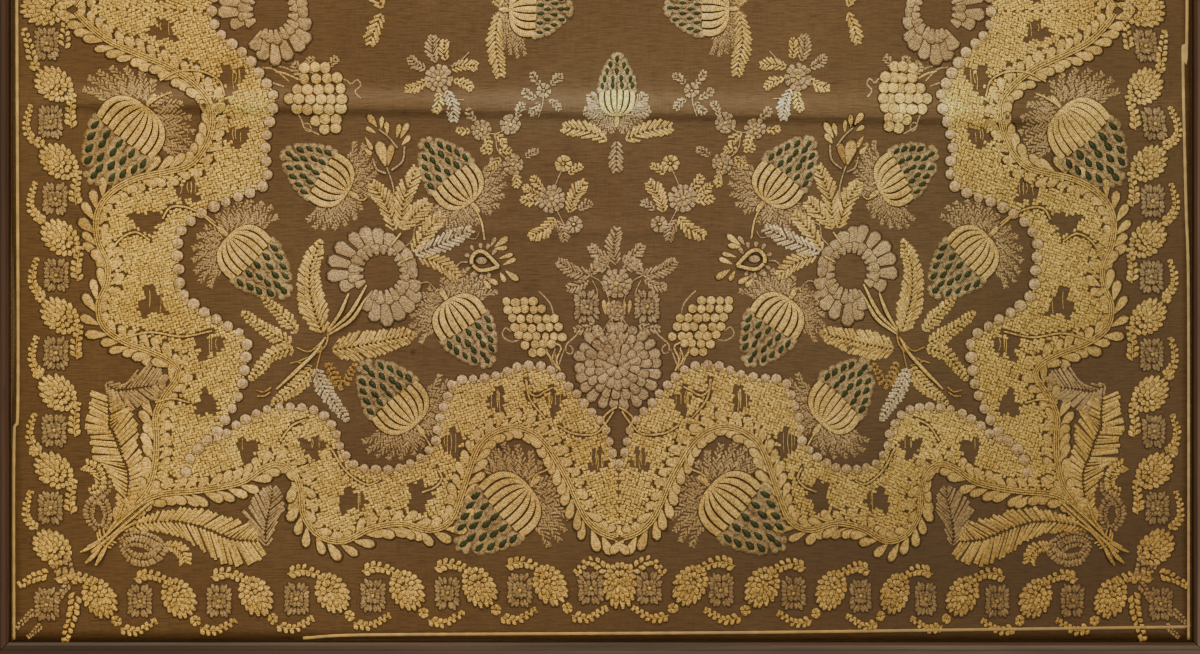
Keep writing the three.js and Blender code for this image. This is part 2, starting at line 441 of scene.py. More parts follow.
def mixed(tree, share, a, b, blend="MIX"):
    node = tree.nodes.new("ShaderNodeMix")
    node.data_type = "RGBA"
    node.blend_type = blend
    for socket, value in ((node.inputs[0], share), (node.inputs[6], a), (node.inputs[7], b)):
        if isinstance(value, bpy.types.NodeSocket):
            tree.links.new(value, socket)
        elif socket.type == "RGBA":
            socket.default_value = (*value[:3], 1)
        else:
            socket.default_value = value
    return node.outputs[2]


WARM = (1.0, 0.82, 0.58, 1.0)


def new_material(name, roughness, sheen=0.0, specular=0.35):
    material = bpy.data.materials.new(name)
    material.use_nodes = True
    tree = material.node_tree
    shader = tree.nodes["Principled BSDF"]
    shader.inputs["Roughness"].default_value = roughness
    shader.inputs["Sheen Weight"].default_value = sheen
    shader.inputs["Specular IOR Level"].default_value = specular
    shader.inputs["Specular Tint"].default_value = WARM
    shader.inputs["Sheen Tint"].default_value = WARM
    return material, tree, shader


def show(tree, shader, colour):
    tree.links.new(colour, shader.inputs["Base Color"])


def bump(tree, shader, height, distance, strength=1.0):
    node = add_node(
        tree, "ShaderNodeBump", {"Strength": strength, "Distance": distance, "Height": height}
    )
    tree.links.new(node.outputs[0], shader.inputs["Normal"])


def own_place(tree, scale=(1, 1, 1), turn=(0, 0, 0)):
    """The piece's own coordinates in metres, scaled and turned."""
    place = add_node(tree, "ShaderNodeTexCoord").outputs["Object"]
    return add_node(
        tree, "ShaderNodeMapping", {"Vector": place, "Scale": scale, "Rotation": turn}
    ).outputs[0]


def noise(tree, vector, scale, detail=2.0, roughness=0.5):
    inputs = {"Vector": vector, "Scale": scale, "Detail": detail, "Roughness": roughness}
    return add_node(tree, "ShaderNodeTexNoise", inputs).outputs["Fac"]


def ranged(tree, value, low, high, to_low=0.0, to_high=1.0):
    inputs = {"Value": value, 1: low, 2: high, 3: to_low, 4: to_high}
    return add_node(tree, "ShaderNodeMapRange", inputs).outputs[0]


def bands(tree, vector, pitch, direction):
    """Even ridges of that pitch across X or Y, from 0 to 1."""
    wave = add_node(
        tree, "ShaderNodeTexWave",
        {"Vector": vector, "Scale": math.pi / 10 / pitch, "Distortion": 0.0},
        bands_direction=direction,
    )
    return wave.outputs["Fac"]


# How much light the valleys between threads (painted shade) and the worn places keep, and the
# painted shade line on the flanks of each stitch
VALLEY = (0.36, 0.3, 0.25)
AGED = (0.55, 0.46, 0.36)
SHADE_LINE = (0.034, 0.017, 0.006)
# The painted shade line runs from the cloth up to the shoulder, and a little way in over the top
SHADE_LINE_REACH = (1.03, 1.15)


def floss_material(name, rough, pitted, painted_shade):
    """Silk floss in laid stitches: the UV map runs along and across each one, in metres."""
    material, tree, shader = new_material(name, rough, sheen=0.04, specular=0.22)
    shade = attribute(tree, "shade")
    rim = attribute(tree, "rim", "Fac")
    along = add_node(tree, "ShaderNodeUVMap", uv_map="UVMap").outputs[0]
    slant = add_node(tree, "ShaderNodeMapping", {"Vector": along, "Rotation": (0, 0, 0.35)})
    threads = bands(tree, slant.outputs[0], settings().thread, "X")
    speckle = noise(tree, own_place(tree), 820.0, 3.0, 0.75)
    blotch = noise(tree, own_place(tree), 48.0, 3.0)
    # Painted shade in the valleys between threads
    tone = mixed(tree, ranged(tree, threads, 0.0, 0.7, 0.8, 0.0), shade, VALLEY, "MULTIPLY")
    worn = mixed(tree, ranged(tree, speckle, 0.42, 0.56, 0.85, 0.0), tone, VALLEY, "MULTIPLY")
    aged = mixed(tree, ranged(tree, blotch, 0.36, 0.62, 0.42, 0.0), worn, AGED, "MULTIPLY")
    # Painted shade: a dark line on the flanks of each stitch, where it meets the cloth and its
    # neighbours
    edge = mixed(tree, ranged(tree, rim, *SHADE_LINE_REACH, painted_shade, 0.0), aged, SHADE_LINE)
    show(tree, shader, edge)
    relief = threads
    if pitted:
        pits = noise(tree, own_place(tree), 750.0, 1.0)
        relief = maths(tree, "ADD", threads, maths(tree, "MULTIPLY", pits, pitted))
    bump(tree, shader, relief, 0.15 * MM, 0.8)
    return material


# Old spots on the silk: middle and reach in mm, and how dark they soaked in
OldSpot = namedtuple("OldSpot", "x y reach depth")
OLD_SPOTS = records(
    OldSpot,
    (-62, -267, 3.2, 0.9),
    (-367, -49, 4.0, 0.6),
    (-115, -209, 2.4, 0.6),
    (309, -8, 3.0, 0.6),
    (40, -318, 2.6, 0.5),
)
SPOT_TINT = (0.3, 0.24, 0.18)


def silk_material():
    """Worn brown silk: slubs along the weft, a fine weave and a few old spots."""
    s = settings()
    material, tree, shader = new_material("brown_silk", 0.5, sheen=0.03, specular=0.2)
    tone = mixed(tree, 1.0, attribute(tree, "tone"), tuple(s.silk), "MULTIPLY")
    slubs = noise(tree, own_place(tree, (80, 1150, 1)), 1.0, 4.0, 0.75)
    fine = noise(tree, own_place(tree, (260, 2600, 1)), 1.0, 2.0)
    mottle = noise(tree, own_place(tree), 13.0, 4.0, 0.6)
    warps = noise(tree, own_place(tree, (1500, 60, 1)), 1.0, 2.0)
    dark = ranged(tree, slubs, 0.34, 0.56, 0.75, 0.0)
    streaked = mixed(tree, dark, tone, (0.42, 0.36, 0.3), "MULTIPLY")
    bright = ranged(tree, fine, 0.45, 0.75, 0.0, 0.5)
    lit = mixed(tree, bright, streaked, (1.55, 1.6, 1.7), "MULTIPLY")
    stained = ranged(tree, mottle, 0.3, 0.7, 0.45, 0.0)
    aged = mixed(tree, stained, lit, (0.66, 0.56, 0.42), "MULTIPLY")
    flat_place = own_place(tree, (1, 1, 0))
    crossed = ranged(tree, warps, 0.52, 0.75, 0.0, 0.45)
    barred = mixed(tree, crossed, aged, (0.6, 0.55, 0.5), "MULTIPLY")
    for old_spot in OLD_SPOTS:
        middle = (old_spot.x * MM, old_spot.y * MM, 0.0)
        off = add_node(
            tree, "ShaderNodeVectorMath", {0: flat_place, 1: middle}, operation="DISTANCE"
        ).outputs["Value"]
        reach = old_spot.reach * MM
        soaked = ranged(tree, off, 0.3 * reach, reach, old_spot.depth, 0.0)
        barred = mixed(tree, soaked, barred, SPOT_TINT, "MULTIPLY")
    show(tree, shader, barred)
    weave = maths(tree, "ADD", slubs, maths(tree, "MULTIPLY", fine, 0.5))
    bump(tree, shader, weave, 0.25 * MM, 0.55)
    return material


def braid_material():
    """A narrow flat braid: the UV map runs along it and from edge to edge, in metres."""
    s = settings()
    material, tree, shader = new_material("cream_braid", 0.6, sheen=0.1, specular=0.25)
    shade = mixed(tree, 1.0, attribute(tree, "tone"), tuple(s.braid), "MULTIPLY")
    along = add_node(tree, "ShaderNodeUVMap", uv_map="UVMap").outputs[0]
    plaits = []
    for turn in (0.9, -0.9):
        slant = add_node(tree, "ShaderNodeMapping", {"Vector": along, "Rotation": (0, 0, turn)})
        plaits.append(bands(tree, slant.outputs[0], 0.55 * MM, "X"))
    plait = maths(tree, "MAXIMUM", *plaits)
    worn = noise(tree, own_place(tree), 90.0, 3.0)
    dulled = mixed(tree, ranged(tree, worn, 0.4, 0.65, 0.5, 0.0), shade, (0.2, 0.13, 0.06))
    # Painted shade in the grooves between the plaits
    shown = mixed(tree, ranged(tree, plait, 0.2, 0.9, 0.4, 0.0), dulled, (0.16, 0.1, 0.045))
    show(tree, shader, shown)
    bump(tree, shader, plait, 0.2 * MM, 0.8)
    return material


def linen_material():
    """Coarse plain-woven linen, with painted shade between the crossings of its threads."""
    s = settings()
    material, tree, shader = new_material("linen", 0.9, sheen=0.05, specular=0.1)
    place = own_place(tree)
    warp = bands(tree, place, 1.1 * MM, "X")
    weft = bands(tree, place, 1.1 * MM, "Y")
    weave = maths(tree, "MULTIPLY", warp, weft)
    flecks = noise(tree, place, 1200.0, 2.0)
    dark = tint("4a3721")
    # Painted shade between the crossings of the threads
    woven = mixed(tree, ranged(tree, weave, 0.05, 0.5), dark, tuple(s.linen))
    shown = mixed(tree, ranged(tree, flecks, 0.5, 0.62, 0.0, 0.7), woven, dark)
    show(tree, shader, shown)
    bump(tree, shader, weave, 0.3 * MM, 0.9)
    return material


def wood_material(name, upright):
    """Dark stained wood with its grain along the rail."""
    s = settings()
    material, tree, shader = new_material(name, 0.38, specular=0.4)
    across = (160, 7, 160) if upright else (7, 160, 160)
    grain = noise(tree, own_place(tree, across), 1.0, 5.0, 0.6)
    pores = noise(tree, own_place(tree, tuple(5 * c for c in across)), 1.0, 2.0)
    figure = noise(tree, own_place(tree, tuple(c / 5 for c in across)), 1.0, 3.0)
    dark = tuple(0.38 * c for c in s.wood)
    light = tuple(min(1.0, 1.9 * c) for c in s.wood)
    base = mixed(tree, ranged(tree, grain, 0.35, 0.65), tuple(s.wood), dark)
    glow = mixed(tree, ranged(tree, figure, 0.45, 0.75, 0.0, 0.5), base, light)
    shown = mixed(tree, ranged(tree, pores, 0.62, 0.72, 0.0, 0.6), glow, dark)
    show(tree, shader, shown)
    shine = ranged(tree, grain, 0.3, 0.7, 0.3, 0.5)
    tree.links.new(shine, shader.inputs["Roughness"])
    bump(tree, shader, maths(tree, "ADD", grain, pores), 0.12 * MM, 0.4)
    return material


# Prototypes of stitches: each lies along x from 0 to 1, is 1 wide and 1 high

CLUB, DISC, SEED, LOBE, PILLOW, RIB, PETAL = range(7)
# How far the shoulder of the cushion lies in from its outline, the height of its foot as a
# share of its tip's, and half outlines from foot to tip: how far along, how far out
Shape = namedtuple("Shape", "name inset_along inset_across foot half")
SHAPES = (
    Shape(
        "stitch_0_club", 0.06, 0.12, 0.3,
        ((0.0, 0.14), (0.28, 0.34), (0.62, 0.5), (0.87, 0.45), (1.0, 0.2)),
    ),
    Shape(
        "stitch_1_disc", 0.08, 0.08, 1.0,
        ((0.02, 0.18), (0.2, 0.42), (0.5, 0.5), (0.8, 0.42), (0.98, 0.18)),
    ),
    Shape("stitch_2_seed", 0.07, 0.08, 0.8, ((0.0, 0.06), (0.28, 0.36), (0.66, 0.5), (1.0, 0.24))),
    Shape("stitch_3_lobe", 0.08, 0.14, 0.35, ((0.0, 0.22), (0.6, 0.5), (1.0, 0.28))),
    Shape("stitch_4_pillow", 0.08, 0.1, 1.0, ((0.0, 0.48), (1.0, 0.48))),
    Shape("stitch_5_rib", 0.05, 0.09, 0.9, ((0.0, 0.42), (1.0, 0.5))),
    Shape("stitch_6_petal", 0.05, 0.06, 0.6, ((0.0, 0.2), (0.5, 0.37), (0.86, 0.5), (1.0, 0.26))),
)
SHOULDER_HEIGHT = 0.85
# Outlines of up to so many corners get a flat top, larger ones a crown; the rim value, which
# counts 0 on the cloth, 1 on the shoulder and 2 on the crown, stands a little higher on the flat
FLAT_CORNERS = 4
FLAT_RIM = 1.18
# Where the middle of the crown lies along the stitch
CROWN = 0.55
# A narrow outline keeps at least this share of its breadth at the shoulder
LEAST_SHOULDER = 0.35


def slope(shape, along):
    """Height of a stitch, which rises from its foot to its tip."""
    return shape.foot + (1 - shape.foot) * along


def stitch_mesh(shape):
    """A closed little cushion: a rim on the cloth, a shoulder, and a flat top or a crown."""
    near = [complex(t, -w) for t, w in shape.half]
    far = [complex(t, w) for t, w in reversed(shape.half)]
    outline = np.array(near + far)
    n = len(outline)
    along = 0.5 + (outline.real - 0.5) * (1 - 2 * shape.inset_along)
    across = np.abs(outline.imag)
    across = np.sign(outline.imag) * np.maximum(
        across - shape.inset_across, LEAST_SHOULDER * across
    )
    shoulder = along + 1j * across
    flat = n <= FLAT_CORNERS
    top = 1.0 if flat else SHOULDER_HEIGHT
    places = [(z.real, z.imag, 0.0) for z in outline]
    places += [(z.real, z.imag, top * slope(shape, z.real)) for z in shoulder]
    rims = [0.0] * n + [FLAT_RIM if flat else 1.0] * n
    faces = [(k, (k + 1) % n, n + (k + 1) % n, n + k) for k in range(n)]
    if flat:
        faces.append(tuple(range(n, 2 * n)))
        faces.append(tuple(range(n))[::-1])
    else:
        places += [(CROWN, 0.0, slope(shape, CROWN)), (CROWN, 0.0, 0.0)]
        rims += [2.0, 0.0]
        faces += [(n + k, n + (k + 1) % n, 2 * n) for k in range(n)]
        faces += [((k + 1) % n, k, 2 * n + 1) for k in range(n)]
    obj = new_object(shape.name, places, faces)
    mesh = obj.data
    mesh.shade_smooth()
    add_attribute(mesh, "rim", "FLOAT", rims)
    layer = mesh.uv_layers.new(name="UVMap")
    corners = np.array([places[loop.vertex_index][:2] for loop in mesh.loops])
    layer.uv.foreach_set("vector", corners.ravel())
    return obj


def stitch_collection():
    collection = bpy.data.collections.get("stitches")
    if collection is None:
        collection = bpy.data.collections.new("stitches")
        for shape in SHAPES:
            obj = stitch_mesh(shape)
            bpy.context.collection.objects.unlink(obj)
            collection.objects.link(obj)
    return collection


def new_tree(name, inputs):
    """An empty Geometry Nodes tree with Geometry and those named inputs."""
    tree = bpy.data.node_groups.new(name, "GeometryNodeTree")
    tree.interface.new_socket("Geometry", in_out="INPUT", socket_type="NodeSocketGeometry")
    for title, kind in inputs:
        tree.interface.new_socket(title, in_out="INPUT", socket_type=kind)
    tree.interface.new_socket("Geometry", in_out="OUTPUT", socket_type="NodeSocketGeometry")
    return tree, tree.nodes.new("NodeGroupInput").outputs


def named(tree, name, kind):
    return add_node(
        tree, "GeometryNodeInputNamedAttribute", {"Name": name}, data_type=kind
    ).outputs[0]


def stored(tree, geometry, name, value):
    return add_node(
        tree, "GeometryNodeStoreNamedAttribute",
        {"Geometry": geometry, "Name": name, "Value": value}, data_type="FLOAT",
    ).outputs[0]


def stitching_tree():
    """Puts a stitch on every point: its kind, way, size and shade are the point's own."""
    tree = bpy.data.node_groups.get("stitching")
    if tree:
        return tree
    tree, given = new_tree(
        "stitching",
        (
            ("Stitches", "NodeSocketCollection"),
            ("Plumpness", "NodeSocketFloat"),
            ("Unevenness", "NodeSocketFloat"),
            ("Seed", "NodeSocketInt"),
            ("Thread", "NodeSocketMaterial"),
        ),
    )
    wobble = add_node(
        tree, "FunctionNodeRandomValue", {2: -1.0, 3: 1.0, "Seed": given["Seed"]}, data_type="FLOAT"
    ).outputs[1]
    sway = maths(tree, "MULTIPLY", wobble, given["Unevenness"])
    turn = maths(tree, "ADD", named(tree, "turn", "FLOAT"), sway)
    way = add_node(tree, "ShaderNodeCombineXYZ", {"Z": turn}).outputs[0]
    plump = add_node(tree, "ShaderNodeCombineXYZ", {"X": 1.0, "Y": 1.0, "Z": given["Plumpness"]})
    size = add_node(
        tree, "ShaderNodeVectorMath", {0: named(tree, "size", "FLOAT_VECTOR"), 1: plump.outputs[0]},
        operation="MULTIPLY",
    ).outputs[0]
    stitches = add_node(
        tree, "GeometryNodeCollectionInfo",
        {"Collection": given["Stitches"], "Separate Children": True, "Reset Children": True},
    ).outputs[0]
    placed = add_node(
        tree, "GeometryNodeInstanceOnPoints",
        {
            "Points": given["Geometry"], "Instance": stitches, "Pick Instance": True,
            "Instance Index": named(tree, "kind", "INT"), "Rotation": way, "Scale": size,
        },
    ).outputs[0]
    real = add_node(tree, "GeometryNodeRealizeInstances", {"Geometry": placed}).outputs[0]
    finished = add_node(
        tree, "GeometryNodeSetMaterial", {"Geometry": real, "Material": given["Thread"]}
    ).outputs[0]
    add_node(tree, "NodeGroupOutput", {"Geometry": finished})
    return tree


def couching_tree():
    """Turns every path into a closed cord, as thick at each point as the point says."""
    tree = bpy.data.node_groups.get("couching")
    if tree:
        return tree
    tree, given = new_tree(
        "couching", (("Sides", "NodeSocketInt"), ("Thread", "NodeSocketMaterial"))
    )
    paths = add_node(tree, "GeometryNodeMeshToCurve", {"Mesh": given["Geometry"]}).outputs[0]
    measure = add_node(tree, "GeometryNodeSplineParameter")
    paths = stored(tree, paths, "along", measure.outputs["Length"])
    ring = add_node(
        tree, "GeometryNodeCurvePrimitiveCircle", {"Resolution": given["Sides"], "Radius": 1.0}
    ).outputs[0]
    ring = stored(tree, ring, "around", measure.outputs["Factor"])
    cords = add_node(
        tree, "GeometryNodeCurveToMesh",
        {
            "Curve": paths, "Profile Curve": ring, "Fill Caps": True,
            "Scale": named(tree, "thickness", "FLOAT"),
        },
    ).outputs[0]
    smooth = add_node(tree, "GeometryNodeSetShadeSmooth", {"Geometry": cords}).outputs[0]
    finished = add_node(
        tree, "GeometryNodeSetMaterial", {"Geometry": smooth, "Material": given["Thread"]}
    ).outputs[0]
    add_node(tree, "NodeGroupOutput", {"Geometry": finished})
    return tree


def made_by(tree, source, name, inputs):
    """The plain mesh that a tree makes of source, which is then removed."""
    modifier = source.modifiers.new(tree.name, "NODES")
    modifier.node_group = tree
    sockets = {i.name: i.identifier for i in tree.interface.items_tree if i.in_out == "INPUT"}
    for title, value in inputs.items():
        modifier[sockets[title]] = value
    bpy.context.view_layer.update()
    ready = source.evaluated_get(bpy.context.evaluated_depsgraph_get())
    mesh = bpy.data.meshes.new_from_object(ready)
    mesh.name = name
    source.modifiers.clear()
    points = source.data
    bpy.data.objects.remove(source)
    bpy.data.meshes.remove(points)
    obj = bpy.data.objects.new(name, mesh)
    bpy.context.collection.objects.link(obj)
    return obj


# Needlework in pattern steps

# Height of a stitch as a share of its width, where none is given
HEIGHT_SHARE = 0.24
# How far stitches stray from their drawn spots, in steps, and differ in size
STRAYING, UNEQUAL = 0.28, 0.06


class Work:
    """Stitches and cords of like motifs, in pattern steps, each with the quarters it fills."""

    def __init__(self, seed):
        self.stitches = []
        self.cords = []
        self.copies = QUARTERS
        self.random = np.random.default_rng(seed)

    def stitch(self, kind, root, tip, width, colour, height=None):
        """One padded stitch from root to tip; its height is a share of its width if not given."""
        height = HEIGHT_SHARE * width if height is None else height
        self.stitches.append((kind, root, tip, width, height, colour, self.copies))

    def cord(self, spots, radius, colour, radii=None):
        """A couched cord through those spots; radii are shares of the radius along it."""
        spots = np.asarray(spots, complex)
        shares = np.ones(len(spots)) if radii is None else np.interp(
            np.linspace(0, 1, len(spots)), np.linspace(0, 1, len(radii)), radii
        )
        self.cords.append((spots, radius * shares, colour, self.copies))


def shades(colours, spots, random, spread=0.09):
    """Each colour as age, dye lots and the painted light and shade of the folds leave it at its
    spot.
    """
    # The tones of age here carry the painted highlights and shade of the folds
    worn = np.asarray(colours) * tone_and_painted_light(spots.real, spots.imag)
    worn = worn * random.normal(1, spread, (len(spots), 1))
    return np.c_[np.clip(worn, 0.004, 1), np.ones(len(spots))]


def sewn(work, name, material):
    """One mesh of all the stitches of a work, over every quarter they fill."""
    rows = [row[:6] + copy for row in work.stitches for copy in row[6]]
    kinds, roots, tips, widths, heights, colours, sides, halves = zip(*rows)
    roots, tips = np.array(roots), np.array(tips)
    start = np.empty(len(rows), complex)
    end = np.empty(len(rows), complex)
    for copy in QUARTERS:
        here = (np.array(sides) == copy[0]) & (np.array(halves) == copy[1])
        start[here] = on_panel(roots[here], *copy)
        end[here] = on_panel(tips[here], *copy)
    jitter = work.random.normal(0, STRAYING * GRID, (2, len(rows)))
    start = start + jitter[0] + 1j * jitter[1]
    end = end + jitter[0] + 1j * jitter[1]
    reach = end - start
    points = np.c_[start.real, start.imag, np.zeros(len(rows))]
    source = new_object(name + "_points", points, [])
    mesh = source.data
    grow = work.random.normal(1, UNEQUAL, len(rows))
    size = np.c_[np.abs(reach), GRID * np.array(widths) * grow, GRID * np.array(heights) * grow]
    add_attribute(mesh, "kind", "INT", kinds)
    add_attribute(mesh, "turn", "FLOAT", np.angle(reach))
    add_attribute(mesh, "size", "FLOAT_VECTOR", size)
    add_attribute(mesh, "shade", "FLOAT_COLOR", shades(colours, start, work.random))
    s = settings()
    obj = made_by(
        stitching_tree(), source, name,
        {
            "Stitches": stitch_collection(), "Plumpness": s.plumpness,
            "Unevenness": s.unevenness, "Seed": 7, "Thread": material,
        },
    )
    scale_map(obj.data)
    lay_on_silk(obj.data)
    return obj


def scale_map(mesh):
    """Takes each stitch's UV map from shares of its size to metres."""
    size = np.empty(len(mesh.vertices) * 3)
    mesh.attributes["size"].data.foreach_get("vector", size)
    corner = np.empty(len(mesh.loops), int)
    mesh.loops.foreach_get("vertex_index", corner)
    layer = mesh.uv_layers["UVMap"]
    spots = np.empty(len(corner) * 2)
    layer.uv.foreach_get("vector", spots)
    spots = spots.reshape(-1, 2) * size.reshape(-1, 3)[corner, :2]
    layer.uv.foreach_set("vector", spots.ravel())
    for name in ("size", "turn", "kind"):
        if name in mesh.attributes:
            mesh.attributes.remove(mesh.attributes[name])


SUNK = 0.08 * MM


def lay_on_silk(mesh, flatten=1.0):
    """Raises flat work onto the silk, its feet a little below the surface."""
    places = vertex_places(mesh)
    places[:, 2] = flatten * places[:, 2] - SUNK + silk_top(places[:, 0], places[:, 1])
    set_places(mesh, places)


# A cord's flatness, the height of its middle as a share of its radius, and how its rim value
# grows with height
CORD_FLATNESS = 0.75
CORD_LIFT = 0.6
CORD_RIM = (1.3, -0.3)


def couched(work, name, material, sides=6, flatness=CORD_FLATNESS):
    """One mesh of all the cords of a work, over every quarter they fill."""
    places, edges, radii, colours = [], [], [], []
    for spots, radius, colour, copies in work.cords:
        for copy in copies:
            first = len(places)
            laid = on_panel(spots, *copy)
            places += list(laid)
            edges += [(first + k, first + k + 1) for k in range(len(spots) - 1)]
            radii += list(radius * GRID)
            colours += [colour] * len(spots)
    places = np.array(places)
    mesh = bpy.data.meshes.new(name + "_paths")
    rise = np.array(radii) * CORD_LIFT
    mesh.from_pydata(np.c_[places.real, places.imag, rise], edges, [])
    add_attribute(mesh, "thickness", "FLOAT", radii)
    add_attribute(mesh, "shade", "FLOAT_COLOR", shades(colours, places, work.random, 0.03))
    source = bpy.data.objects.new(name + "_paths", mesh)
    bpy.context.collection.objects.link(source)
    obj = made_by(couching_tree(), source, name, {"Sides": sides, "Thread": material})
    map_cords(obj.data)
    lay_on_silk(obj.data, flatness)
    return obj


def vertex_values(mesh, name):
    values = np.empty(len(mesh.vertices))
    mesh.attributes[name].data.foreach_get("value", values)
    return values


def map_cords(mesh):
    """Gives cords a UV map in metres along and around, and the rim value for the painted shade line
    at their sides.
    """
    along, around, radius = (vertex_values(mesh, n) for n in ("along", "around", "thickness"))
    corner = np.empty(len(mesh.loops), int)
    mesh.loops.foreach_get("vertex_index", corner)
    spots = np.c_[along, 2 * math.pi * around * radius][corner]
    layer = mesh.uv_layers.new(name="UVMap")
    layer.uv.foreach_set("vector", spots.ravel())
    height = vertex_places(mesh)[:, 2]
    growth, start = CORD_RIM
    add_attribute(mesh, "rim", "FLOAT", FLAT_RIM * np.clip(growth * height / radius + start, 0, 1))
    for name in ("along", "around", "thickness"):
        mesh.attributes.remove(mesh.attributes[name])


# Drawing aids

# The pattern's middle lines cross here on the drawing sheet, which is ruled in steps
SHEET_MIDDLE, SHEET_LEVEL = 618, 10


def spot(x, y):
    """The spot of the pattern that lies at x, y on the drawing sheet."""
    return complex(SHEET_MIDDLE - x, y - SHEET_LEVEL)


def line(*places):
    return np.array([spot(*place) for place in places])


def flowing(points, pitch):
    """Spots about a pitch apart along a smooth curve through points."""
    points = np.asarray(points, complex)
    if len(points) == 2:
        fine = np.linspace(points[0], points[1], 20)
    else:
        ends = 2 * points[0] - points[1], 2 * points[-1] - points[-2]
        p = np.concatenate([[ends[0]], points, [ends[1]]])
        t = np.linspace(0, 1, 14, endpoint=False)
        fine = [
            0.5 * (2 * b + (c - a) * t + (2 * a - 5 * b + 4 * c - d) * t**2
                   + (3 * b - a - 3 * c + d) * t**3)
            for a, b, c, d in zip(p, p[1:], p[2:], p[3:])
        ]
        fine = np.concatenate(fine + [points[-1:]])
    lengths = np.concatenate([[0], np.cumsum(np.abs(np.diff(fine)))])
    where = np.linspace(0, lengths[-1], max(2, round(lengths[-1] / pitch) + 1))
    return np.interp(where, lengths, fine.real) + 1j * np.interp(where, lengths, fine.imag)


def headings(path):
    ways = np.gradient(path)
    return ways / np.abs(ways)


def dye(name):
    return tuple(getattr(settings(), name))


def even(t):
    return 1.0


def leafy(t):
    """Short lobes at the foot of a leaf, long ones in its middle, short ones at its tip."""
    return 0.45 + 0.6 * math.sin(math.pi * (0.12 + 0.8 * t)) - 0.12 * t


def tapering(t):
    return 1.0 - 0.45 * t


# Neighbours stand a little lower and higher by turns
TURN_ABOUT = (0.88, 1.12)


def frond(work, path, colour, reach, width, pitch, lean=0.7, kind=None, shape=even):
    """Lobes in pairs along a stem, leaning towards its end, and one at the end itself."""
    kind = CLUB if kind is None else kind
    spine = flowing(path, pitch)
    ways = headings(spine)
    last = len(spine) - 1
    for k, (root, way) in enumerate(zip(spine, ways)):
        share = shape(k / last)
        broad = width * (0.6 + 0.4 * share)
        for side in (-1, 1):
            foot = root + (0.4 * pitch * way if side > 0 and k < last else 0)
            tip = foot + reach * share * way * np.exp(1j * side * lean)
            height = HEIGHT_SHARE * broad * TURN_ABOUT[k % 2]
            work.stitch(kind, foot, tip, broad, colour, height)
    tip = spine[-1] + 0.8 * reach * shape(1.0) * ways[-1]
    work.stitch(kind, spine[-1], tip, width, colour)


def rank(work, spine, reaches, side, lean, colour, height=1.0, fill=1.06):
    """Ribs side by side from a midrib out to the edge, each as broad as the space it has."""
    ways = headings(spine) * np.exp(1j * side * lean)
    middles = spine + 0.55 * reaches * ways
    spaces = np.abs((np.gradient(middles) / ways).imag)
    for k, (root, way, reach, space) in enumerate(zip(spine, ways, reaches, spaces)):
        reach = reach * work.random.uniform(0.93, 1.07)
        broad = fill * max(space, 1.6)
        work.stitch(RIB, root + 0.3 * way, root + reach * way, broad, colour,
                    height * TURN_ABOUT[k % 2])


def rib_leaf(work, path, breadth, colour, pitch=4.6, lean=0.66, height=0.9):
    """A leaf of two ranks of ribs that meet along its midrib, and a rib at the tip."""
    spine = flowing(path, pitch)
    shares = np.array([leafy(t) for t in np.linspace(0, 1, len(spine))])
    for side in (-1, 1):
        rank(work, spine, breadth * shares / math.sin(lean), side, lean, colour, height)
    way = spine[-1] - spine[-2]
    tip = spine[-1] + 0.9 * breadth * shares[-1] * way / abs(way)
    work.stitch(RIB, spine[-1], tip, 0.8 * pitch, colour, height)


def rosette(work, centre, inner, outer, petals, colour, turn=0.0, height=1.1):
    """A ring of petals round a centre, side by side."""
    broad = 2.06 * math.pi * (inner + 0.86 * (outer - inner)) / petals
    for k in range(petals):
        way = np.exp(1j * (turn + 2 * math.pi * k / petals))
        reach = outer * work.random.uniform(0.96, 1.04)
        work.stitch(PETAL, centre + inner * way, centre + reach * way, broad, colour,
                    height * TURN_ABOUT[k % 2])


# The scalloped band

# Its outer rib grows out of the tie in the corner, up the side and along the foot
SIDE_RIB = line(
    (109, 531), (135, 505), (150, 485), (156, 460), (157, 435), (156, 415), (165, 395), (179, 374),
    (172, 362), (150, 351), (125, 342), (104, 327), (99, 305), (107, 285), (108, 265),
    (99, 245), (96, 222), (102, 203), (117, 188), (140, 177), (168, 171), (190, 164), (206, 145),
    (213, 122), (211, 102), (196, 84), (170, 67), (138, 54), (108, 41), (84, 22), (74, 10),
)
FOOT_RIB = line(
    (109, 531), (135, 507), (160, 494), (200, 490), (240, 482), (262, 468), (280, 463), (295, 474),
    (301, 495), (303, 515), (318, 535), (342, 541), (370, 528), (400, 523), (428, 530),
    (449, 521), (460, 495), (469, 468), (478, 446), (492, 433), (512, 427), (532, 433),
    (547, 447), (559, 466), (569, 485), (576, 502), (586, 521), (600, 533), (618, 539),
)
# Its inner edge is a chain of discs
SIDE_CHAIN = line(
    (212, 10), (216, 28), (230, 41), (248, 57), (263, 76), (275, 98), (270, 123), (266, 145),
    (268, 173), (260, 187), (240, 195), (212, 206), (190, 221), (178, 237), (178, 262),
    (182, 290), (200, 308), (226, 324), (245, 337), (246, 357), (241, 385), (231, 409),
    (216, 432), (202, 444), (191, 458), (187, 472),
)
FOOT_CHAIN = line(
    (190, 458), (203, 443), (222, 436), (241, 421), (266, 409), (293, 406), (318, 411), (334, 428),
    (340, 447), (356, 465), (385, 469), (412, 462), (434, 443), (438, 421), (446, 398),
    (456, 381), (490, 377), (524, 366), (548, 369), (570, 387), (590, 410), (606, 430),
    (611, 452), (617, 464),
)
# Lobes stand along both flanks of a rib: where the first one stands, their pitch, reach,
# width and how far they lean off the rib
Flank = namedtuple("Flank", "start pitch reach width lean")
OUTER_FLANK = Flank(10, 12, 24, 12.0, 0.58)
INNER_FLANK = Flank(16, 12, 20, 11.0, 0.66)
